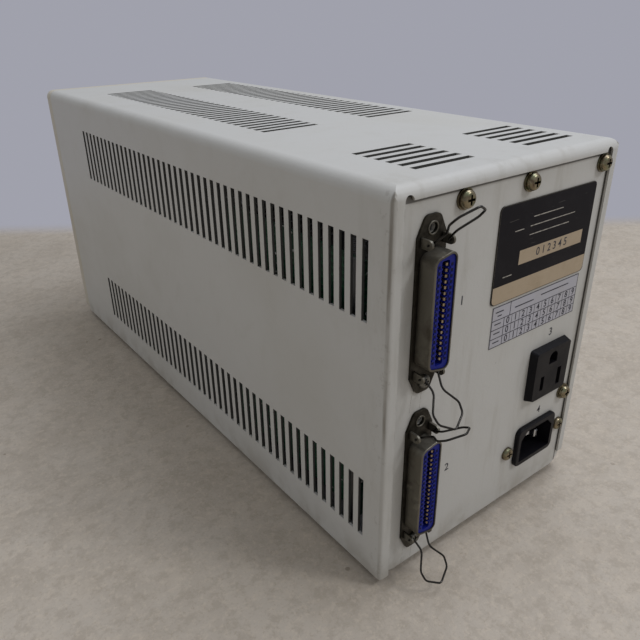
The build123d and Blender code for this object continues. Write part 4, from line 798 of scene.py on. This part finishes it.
def floor_finish(look):
    f = Finish("studio_floor", look.floor, 0.75)
    f.mottle(0.045, 0.40, 0.62, 0.42, shade(look.floor, 0.78, 0.75, 0.71), 5, 0.65)
    f.mottle(0.018, 0.48, 0.62, 0.35, shade(look.floor, 1.12, 1.10, 1.07), 5, 0.65)
    f.mottle(0.0085, 0.47, 0.60, 0.60, shade(look.floor, 0.78, 0.76, 0.73), 7, 0.75)
    f.mottle(0.0035, 0.50, 0.62, 0.50, shade(look.floor, 1.17, 1.15, 1.11), 6, 0.75)
    f.mottle(0.0014, 0.55, 0.66, 0.45, shade(look.floor, 0.76, 0.71, 0.64), 3, 0.7)
    pits = f.times(f.ramp(f.cells(0.026), 0.055, 0.035), f.ramp(f.noise(0.05), 0.50, 0.56), 0.6)
    f.tint(pits, shade(look.floor, 0.42, 0.38, 0.33))
    f.grain(0.0022, 0.00022, 4, 0.65)
    f.done()
    around = f.node("VectorMath", {0: f.place}, operation="LENGTH").outputs["Value"]
    far = f.calc("MAXIMUM", f.ramp(f.dot(f.place, AWAY), *FADE_AWAY), f.ramp(around, *FADE_ROUND))
    haze = f.node("Emission", {"Color": (*look.distance, 1.0), "Strength": 1.0})
    blend = f.node("MixShader", {0: f.times(far, seen_directly(f)), 1: f.shader.outputs[0],
                                 2: haze.outputs[0]})
    output = next(n for n in f.tree.nodes if n.type == "OUTPUT_MATERIAL")
    f.feed(output.inputs["Surface"], blend.outputs[0])
    return f.material


def build_floor(look):
    bm = bmesh.new()
    bmesh.ops.create_grid(bm, x_segments=1, y_segments=1, size=FLOOR_HALF)
    mesh = bpy.data.meshes.new("studio_floor")
    bm.to_mesh(mesh)
    bm.free()
    mesh.materials.append(floor_finish(look))
    linked("studio_floor", mesh)


def build_world(look):
    """Even light from all round, and a plain colour where the camera sees past the floor."""
    world = bpy.data.worlds.new("studio")
    world.use_nodes = True
    tree = world.node_tree
    light = next(n for n in tree.nodes if n.type == "BACKGROUND")
    light.inputs["Color"].default_value = SKY
    light.inputs["Strength"].default_value = look.fill
    pale = tree.nodes.new("ShaderNodeBackground")
    pale.inputs["Color"].default_value = (*look.distance, 1.0)
    path = tree.nodes.new("ShaderNodeLightPath")
    blend = tree.nodes.new("ShaderNodeMixShader")
    output = next(n for n in tree.nodes if n.type == "OUTPUT_WORLD")
    for source, socket in ((path.outputs["Is Camera Ray"], blend.inputs[0]),
                           (light.outputs[0], blend.inputs[1]), (pale.outputs[0], blend.inputs[2]),
                           (blend.outputs[0], output.inputs["Surface"])):
        tree.links.new(source, socket)
    bpy.context.scene.world = world


def build_studio(look):
    build_floor(look)
    data = bpy.data.cameras.new("camera")
    data.lens = CAMERA_LENS
    data.sensor_width = SENSOR
    data.clip_start = 0.01
    eye = linked("camera", data)
    eye.matrix_world = camera_matrix()
    bpy.context.scene.camera = eye
    for name, at, towards, size, share, colour in LAMPS:
        lamp(name, at, towards, size, look.key * share, colour)
    build_world(look)
    bpy.context.scene.view_settings.view_transform = "Standard"


# ---- Receptacles --------------------------------------------------------------------------------
CONTACTS = 18                           # in each of a receptacle's two rows
# In millimetres from the moulding's middle line
WALL_RIB, FACE_RIB, FACE_SLOT = (1.30, 2.05), (2.35, 3.75), (2.55, 3.70)
NOSE_OUT = 1.52
# In millimetres from the moulding's face, and the nose's own size
RIB_DEEP, RIB_SUNK, RIB_PROUD = 6.0, 0.15, 0.28
NOSE_DEEP, NOSE_R, NOSE_LONG = 1.15, 0.52, 1.02
EYELET_UP, EYELET_OUT = 30.0, 1.0               # from the shell's middle, and from its back
EYELET_R, EYELET_TUBE = 2.25 * MM, 0.38 * MM


def build_ribs(which, look):
    """Ribs between the contacts, in the slot and on the moulding's face, and patches of painted shade
    between the face ribs, where the contacts open.
    """
    insulator = f"{which}_connector_insulator"
    centre, front = middle(insulator), high(insulator, "y")
    half = look.rib_width / 2 / MM
    ribs, slot_shade = bmesh.new(), bmesh.new()
    for side in (-1, 1):
        for z in row_of(CONTACTS - 1, look.pitch, centre.z):
            for (x0, x1), y0, y1, tall in ((WALL_RIB, -RIB_DEEP, -RIB_SUNK, half),
                                           (FACE_RIB, -0.2, RIB_PROUD, half * 1.2)):
                block_at(ribs, (centre.x, front, z), (side * x0, y0, -tall), (side * x1, y1, tall))
        # Dark patches of painted shade where the contacts open on the face
        for z in row_of(CONTACTS, look.pitch, centre.z):
            block_at(slot_shade, (centre.x, front, z), (side * FACE_SLOT[0], -0.3, -0.5),
                     (side * FACE_SLOT[1], 0.03, 0.5), "y", 0.2)
    finish_piece(f"{which}_insulator_ribs", ribs, "blue_moulding")
    finish_piece(f"{which}_insulator_slot_shade", slot_shade, "blue_moulding", look="blue_shadow")


def build_noses(which, look):
    """Rounded noses at the front of the contacts."""
    insulator = f"{which}_connector_insulator"
    centre, front = middle(insulator), high(insulator, "y")
    bm = bmesh.new()
    for z in row_of(CONTACTS, look.pitch, centre.z):
        for side in (-1, 1):
            rod(bm, moved((centre.x, front, z), side * NOSE_OUT, -NOSE_DEEP, 0), (0, 0, 1), NOSE_R * MM,
                NOSE_LONG * MM, 12)
    finish_piece(f"{which}_contact_noses", bm, "gold_contacts")


def build_eyelet(which):
    """Rolled rim of the flange's upper hole."""
    shell = f"{which}_connector_shell"
    back = (middle(shell).x, low(shell, "y"), middle(shell).z)
    bm = bmesh.new()
    ring(bm, moved(back, 0, EYELET_OUT, EYELET_UP), (0, 1, 0), EYELET_R, EYELET_TUBE)
    finish_piece(f"{which}_flange_eyelet", bm, "nickel_shell")


# ---- Plates and printed marks -------------------------------------------------------------------
# Places on the rating plate, in millimetres from its left and lower edges as x and z run
FOIL_EDGE, FOIL_HIGH, FOIL_CORNER = 0.25, 7.8, 2.3
WINDOW_X, WINDOW_Z = (5.3, 48.4), (14.3, 20.3)
WINDOW_NUMBER, NUMBERS_AT = 3.4, 26.8   # height and middle of the window's numbers
LINE_HIGH = 0.34
# Printed lines: start and end from the plate's middle, and height
PLATE_LINES = ((10.5, -9.0, 32.9), (12.0, -18.0, 29.3), (12.0, -14.5, 25.7), (21.5, 16.0, 29.0),
               (26.0, 20.5, 11.0))
# The label, in millimetres: height of its heading, and widths of the heads of its rows and its title
HEAD_HIGH, ROW_HEAD, TITLE_HEAD = 6.2, 8.0, 11.4
LABEL_LINE = 0.16
LABEL_NUMBER = 3.0
# Printed lines in the heading: start, end and drop from the label's upper left corner
LABEL_LINES = ((2.0, 7.0, 2.4), (3.4, 6.0, 4.2), (14.5, 27.0, 3.4), (32.0, 52.0, 2.6))
# Scratches under each receptacle: its shell and how far they reach down; and their two lanes, as
# the distance from the shell's middle and the lean
SWINGS = (("upper_connector_shell", 8.0), ("lower_connector_shell", 7.6))
SWING_LANES = ((4.6, 0.7), (-0.6, 0.4))


def rule(bm, start, end, face, thickness):
    """Printed line or bar on the back, between two corners in X and Z."""
    (x0, z0), (x1, z1) = start, end
    return block(bm, (x0, face - thickness / 2, z0), (x1, face + thickness, z1))


def build_rating_plate(look):
    """Foil strip and window, the window's numbers, and plain printed lines."""
    plate = "rating_plate"
    face, x0, x1, z0 = high(plate, "y"), low(plate, "x"), high(plate, "x"), low(plate, "z")
    centre, t = middle(plate), look.print_thickness
    bm = bmesh.new()
    edge = FOIL_EDGE * MM
    strip = rule(bm, (x0 + edge, z0 + edge), (x1 - edge, z0 + FOIL_HIGH * MM), face, t)
    corners = [e for e in {e for v in strip for e in v.link_edges}
               if abs(e.verts[0].co.y - e.verts[1].co.y) > 1e-9 and e.verts[0].co.z < z0 + MM]
    bmesh.ops.bevel(bm, geom=corners, offset=FOIL_CORNER * MM, segments=5, profile=0.5,
                    affect="EDGES", material=-1)
    window = [z0 + z * MM for z in WINDOW_Z]
    rule(bm, (x0 + WINDOW_X[0] * MM, window[0]), (x0 + WINDOW_X[1] * MM, window[1]), face, t)
    finish_piece("rating_plate_foil", bm, "plate_black", look="tan_foil")
    numbers = [("0 1 2 3 4 5", (x0 + NUMBERS_AT * MM, face + t, sum(window) / 2), WINDOW_NUMBER * MM)]
    print_numbers("rating_plate_numbers", numbers, BACK, t * 1.2, "plate_black")
    bm = bmesh.new()
    for start, end, up in PLATE_LINES:
        rule(bm, (centre.x + start * MM, z0 + up * MM), (centre.x + end * MM, z0 + (up + LINE_HIGH) * MM),
             face, t)
    finish_piece("rating_plate_rules", bm, "plate_black", look="worn_silver_ink")


def build_revision_label(look):
    """Ruled grid with ten numbered boxes in each of three rows."""
    label = "revision_label"
    face, x0, x1 = high(label, "y"), low(label, "x"), high(label, "x")
    z0, z1 = low(label, "z"), high(label, "z")
    t, w = look.print_thickness, LABEL_LINE * MM
    head = z1 - HEAD_HIGH * MM
    row = (head - z0) / 3
    first, titled = x1 - ROW_HEAD * MM, x1 - TITLE_HEAD * MM
    column = (first - x0) / 10
    bm = bmesh.new()
    for z in (z0 + w, head, head - row, head - 2 * row, z1 - w):
        rule(bm, (x0, z - w), (x1, z + w), face, t)
    for x, foot, top in ((x0 + w, z0, z1), (x1 - w, z0, z1), (first, z0, head), (titled, head, z1)):
        rule(bm, (x - w, foot), (x + w, top), face, t)
    for start, end, drop in LABEL_LINES:
        rule(bm, (x1 - start * MM, z1 - drop * MM), (x1 - end * MM, z1 - (drop + 0.5) * MM), face, t)
    for i in range(3):
        z = head - (i + 0.5) * row
        rule(bm, (x1 - 2.0 * MM, z), (x1 - 6.0 * MM, z + 0.5 * MM), face, t)
    for i in range(1, 10):
        x = x0 + i * column
        rule(bm, (x - w * 0.7, z0), (x + w * 0.7, head), face, t)
    finish_piece("revision_label_grid", bm, "label_white", look="printed_ink")
    entries = [(str(i), (first - (i + 0.5) * column, face + t / 2, head - (r + 0.5) * row),
                LABEL_NUMBER * MM) for r in range(3) for i in range(10)]
    print_numbers("revision_label_numbers", entries, BACK, t * 1.2, "label_white")


def build_panel_numbers(look):
    """A plain number beside each socket."""
    face = high("rear_panel", "y")
    beside = low("upper_connector_shell", "x") - 12.5 * MM
    places = (
        (beside, middle("upper_connector_shell").z - 3.0 * MM),
        (beside, middle("lower_connector_shell").z - 3.0 * MM),
        (middle("outlet_body").x, high("outlet_body", "z") + 5.6 * MM),
        (middle("inlet_body").x - 1.8 * MM, high("inlet_body", "z") + 4.8 * MM),
    )
    entries = [(str(i), (x, face, z), look.number_height) for i, (x, z) in enumerate(places, 1)]
    print_numbers("panel_numbers", entries, BACK, look.print_thickness * 1.6, "plate_black")


def build_swing_marks(look):
    """Fine scratches that the lower bails' wires have left in the paint."""
    face = high("rear_panel", "y")
    x = middle("upper_connector_shell").x
    bm = bmesh.new()
    for shell, deep in SWINGS:
        foot = low(shell, "z")
        for side, lean in SWING_LANES:
            for step in range(4):
                top = foot - (0.5 + step * deep / 4.2) * MM
                at = x + (side + lean * step / 3) * MM
                rule(bm, (at, top), (at + (0.22 - 0.03 * step) * MM, top - deep / 4.2 * MM), face,
                     look.print_thickness / 4)
    finish_piece("panel_swing_marks", bm, "case_paint", look="rubbed_paint")


# ---- Front --------------------------------------------------------------------------------------
def build_rocker_numbers():
    """Plain 1 and 0 on the rocker's two ends."""
    face, centre = low("power_rocker", "y") + 0.35 * MM, middle("power_rocker")
    entries = [(text, (centre.x, face, centre.z + up * MM), 2.6 * MM)
               for text, up in (("1", 5.0), ("0", -5.0))]
    print_numbers("rocker_numbers", entries, FRONT, 0.9 * MM, "rocker_black", "power_rocker",
                  "worn_silver_ink")


# ---- Drives and supply --------------------------------------------------------------------------
LEG_PITCH = 2.54 * MM
# Packages on a drive's board, in millimetres: place along and up from its middle, length and width
CHIPS = ((-42, 42, 20, 7), (-42, 20, 20, 7), (-8, 44, 24, 7), (-6, 18, 36, 13), (-42, -8, 20, 7),
         (30, 40, 18, 7), (32, -14, 22, 7), (-6, -30, 20, 7))
# On the supply board, in millimetres from its near lower corner: along and up, then a package's
# length, height and rise, or a capacitor's radius; regulators hang under the heat sink
PACKAGES = ((22, 44, 20, 7, 7.0), (52, 48, 15, 12, 6.5), (52, 68, 11, 4, 5.0),
            (88, 64, 9, 14, 7.5), (12, 78, 10, 10, 6.0), (97, 20, 11, 18, 9.0))
RESISTORS = ((30, 64), (30, 70), (30, 76), (70, 56), (70, 62), (70, 68), (70, 74), (100, 44))
CAPACITORS = ((38, 56, 4.0), (60, 58, 3.2), (84, 48, 4.5), (102, 62, 4.0), (102, 76, 3.2), (16, 60, 3.2))
REGULATORS = (28, 46, 64)


def chip(bm, centre, size, out):
    """Moulded package with two rows of legs, lying on a board that faces along X."""
    x, y, z = centre
    height, along, across = size
    block(bm, (x, y - along / 2, z - across / 2), (x + out * height, y + along / 2, z + across / 2),
          "y", 0.3 * MM, 1)
    for leg in row_of(max(2, int(along / LEG_PITCH)), LEG_PITCH, y):
        for side in (-1, 1):
            foot = z + side * across / 2
            block(bm, (x, leg - 0.3 * MM, foot),
                  (x + out * height * 0.6, leg + 0.3 * MM, foot + side * 0.7 * MM))


def build_logic_parts(drive, look):
    board = f"drive_{drive}_logic_board"
    face, centre = low(board, "x"), middle(board)
    bm = bmesh.new()
    for dy, dz, along, across in CHIPS:
        size = (look.chip_height, along * MM, across * MM)
        chip(bm, moved((face, centre.y, centre.z), 0, dy, dz), size, -1)
    finish_piece(f"drive_{drive}_chips", bm, "black_socket")


def build_ribbon_sockets():
    """Moulded sockets on the ribbon's three ends."""
    bm = bmesh.new()
    foot = low("signal_ribbon", "z")
    tall = (high("signal_ribbon", "z") - foot) / MM
    block_at(bm, (high("signal_ribbon", "x"), low("link_board", "y"), foot), (-4.0, -8.0, -2.0),
             (3.0, 0.0, tall + 2.0), "y", 0.5)
    for drive in "ab":
        board = f"drive_{drive}_logic_board"
        edge = (middle(board).x, high(board, "y"), foot)
        block_at(bm, edge, (-3.4, -6.0, -2.0), (3.4, 3.0, tall + 2.0), "y", 0.5)
        block_at(bm, edge, (-4.2, -6.0, 4.0), (4.2, -2.0, tall - 4.0), "y", 0.5)
    finish_piece("ribbon_sockets", bm, "black_socket")


def build_lead_blocks():
    """Cream plug blocks where the leads meet the boards, and the strip on the transformer."""
    bm = bmesh.new()
    lane = (low("supply_board", "x"), low("supply_board", "y") + 4.0 * MM)
    for z, half in ((high("power_harness", "z") - 5.75 * MM, 7.5),
                    (high("mains_wires", "z") - 2.0 * MM, 4.5)):
        for out, wide, more in ((7.0, 3.6, 0.0), (3.0, 4.4, 0.8)):
            block_at(bm, (*lane, z), (-out, -wide, -half - more), (0.0, wide, half + more), "x", 0.5)
    coil = middle("transformer_winding")
    coil.y = high("transformer_winding", "y")
    block_at(bm, coil, (-18.0, -0.2, -6.0), (18.0, 1.6, 13.0), "y", 0.8)
    finish_piece("lead_blocks", bm, "cone_plastic")
    bm = bmesh.new()
    for x in row_of(6, 6.0):
        for z in (-3.0, 9.5):
            block_at(bm, coil, (x - 1.2, 1.4, z - 1.6), (x + 1.2, 2.2, z + 1.6), "y", 0.4)
    finish_piece("transformer_tags", bm, "brass_clips")


def build_supply_parts():
    """Low components on the supply board, clear of the ribbon that passes in front of it."""
    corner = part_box("supply_board")[0]
    packages, resistors, capacitors, regulators = (bmesh.new() for _ in range(4))
    for along, up, long, tall, out in PACKAGES:
        block_at(packages, corner, (-out, along - long / 2, up - tall / 2),
                 (0.0, along + long / 2, up + tall / 2), "x", 0.6)
    for i, (along, up) in enumerate(RESISTORS):
        radius = 1.7 if i % 3 else 2.1
        rod(resistors, moved(corner, -2.2, along, up), (0, 1, 0), radius * MM, 9.0 * MM, 16)
    for along, up, radius in CAPACITORS:
        rod(capacitors, moved(corner, -4.2, along, up), (1, 0, 0), radius * MM, 8.4 * MM)
    under = (*corner[:2], low("heat_sink", "z"))
    for along in REGULATORS:
        block_at(regulators, under, (-4.6, along - 5.0, -13.0), (-0.2, along + 5.0, -0.2), "x", 0.4)
    finish_piece("supply_packages", packages, "black_socket")
    finish_piece("supply_resistors", resistors, "winding_tape")
    finish_piece("supply_small_capacitors", capacitors, "capacitor_sleeve")
    finish_piece("supply_regulators", regulators, "black_socket")


def build_lever_grips(drive):
    """Grip ribs on both flanks of the lever, and ticks on the faceplate at its two rests."""
    lever, plate = f"drive_{drive}_lever", f"drive_{drive}_faceplate"
    tip = moved(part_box(lever)[0], 5.2, 0, 0)
    bm = bmesh.new()
    for i in range(5):
        z = 3.0 + 1.7 * i
        for side in (-1, 1):
            block_at(bm, tip, (side * 3.3, 1.6, z - 0.35), (side * 3.75, 7.4, z + 0.35), "y", 0.15)
    finish_piece(f"drive_{drive}_lever_ribs", bm, "lever_plastic", lever)
    bm = bmesh.new()
    block_at(bm, (tip[0], low(plate, "y"), tip[2]), (-0.5, -0.04, -5.5), (0.5, 0.04, -2.0))
    block_at(bm, (tip[0], low(plate, "y"), middle(plate).z), (-29.0, -0.04, -0.5), (-25.5, 0.04, 0.5))
    finish_piece(f"drive_{drive}_lever_ticks", bm, "faceplate_plastic", look="worn_silver_ink")


# ---- Operators ----------------------------------------------------------------------------------
class DISK_OT_studio(bpy.types.Operator):
    """Floor, camera, lamps and world light"""
    bl_idname = "disk.studio"
    bl_label = "Studio"

    def execute(self, context):
        build_studio(context.scene.disk_studio)
        return {"FINISHED"}


class DISK_OT_finishes(bpy.types.Operator):
    """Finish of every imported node"""
    bl_idname = "disk.finishes"
    bl_label = "Finishes"

    def execute(self, context):
        dress(SLOT_OF)
        return {"FINISHED"}


class DISK_OT_receptacles(bpy.types.Operator):
    """Ribs, contact noses and rolled rims of the two ribbon receptacles"""
    bl_idname = "disk.receptacles"
    bl_label = "Receptacles"

    def execute(self, context):
        for which in ("upper", "lower"):
            build_ribs(which, context.scene.disk_rear)
            build_noses(which, context.scene.disk_rear)
            build_eyelet(which)
        return {"FINISHED"}


class DISK_OT_plates(bpy.types.Operator):
    """Marks on the rating plate, the revision label and the panel"""
    bl_idname = "disk.plates"
    bl_label = "Plates and marks"

    def execute(self, context):
        look = context.scene.disk_rear
        build_rating_plate(look)
        build_revision_label(look)
        build_panel_numbers(look)
        build_swing_marks(look)
        return {"FINISHED"}


class DISK_OT_front(bpy.types.Operator):
    """Numbers on the power rocker"""
    bl_idname = "disk.front"
    bl_label = "Front"

    def execute(self, context):
        build_rocker_numbers()
        return {"FINISHED"}


class DISK_OT_drives(bpy.types.Operator):
    """Components on the drives' boards, and ribs and ticks of their levers"""
    bl_idname = "disk.drives"
    bl_label = "Drives"

    def execute(self, context):
        for drive in "ab":
            build_logic_parts(drive, context.scene.disk_drives)
            build_lever_grips(drive)
        return {"FINISHED"}


class DISK_OT_supply(bpy.types.Operator):
    """Components of the supply, and the sockets on its leads"""
    bl_idname = "disk.supply"
    bl_label = "Supply"

    def execute(self, context):
        build_ribbon_sockets()
        build_lead_blocks()
        build_supply_parts()
        return {"FINISHED"}


OPERATORS = (DISK_OT_studio, DISK_OT_finishes, DISK_OT_receptacles, DISK_OT_plates, DISK_OT_front,
             DISK_OT_drives, DISK_OT_supply)
SETTINGS = {"disk_casing": CasingSettings, "disk_rear": RearSettings, "disk_drives": DriveSettings,
            "disk_studio": StudioSettings}


class DISK_PT_panel(bpy.types.Panel):
    """Lists the disk drive's settings and operators"""
    bl_idname = "DISK_PT_panel"
    bl_label = "Disk drive"
    bl_space_type = "VIEW_3D"
    bl_region_type = "UI"
    bl_category = "Disk drive"

    def draw(self, context):
        for name, group in SETTINGS.items():
            box = self.layout.box()
            for field in group.__annotations__:
                box.prop(getattr(context.scene, name), field)
        for operator in OPERATORS:
            self.layout.operator(operator.bl_idname)


def register():
    for cls in (*SETTINGS.values(), *OPERATORS, DISK_PT_panel):
        bpy.utils.register_class(cls)
    for name, group in SETTINGS.items():
        setattr(bpy.types.Scene, name, bpy.props.PointerProperty(type=group))


def unregister():
    for name in SETTINGS:
        delattr(bpy.types.Scene, name)
    for cls in reversed((*SETTINGS.values(), *OPERATORS, DISK_PT_panel)):
        bpy.utils.unregister_class(cls)


def main():
    register()
    for operator in OPERATORS:
        group, name = operator.bl_idname.split(".")
        getattr(getattr(bpy.ops, group), name)()


if __name__ == "__main__":
    main()
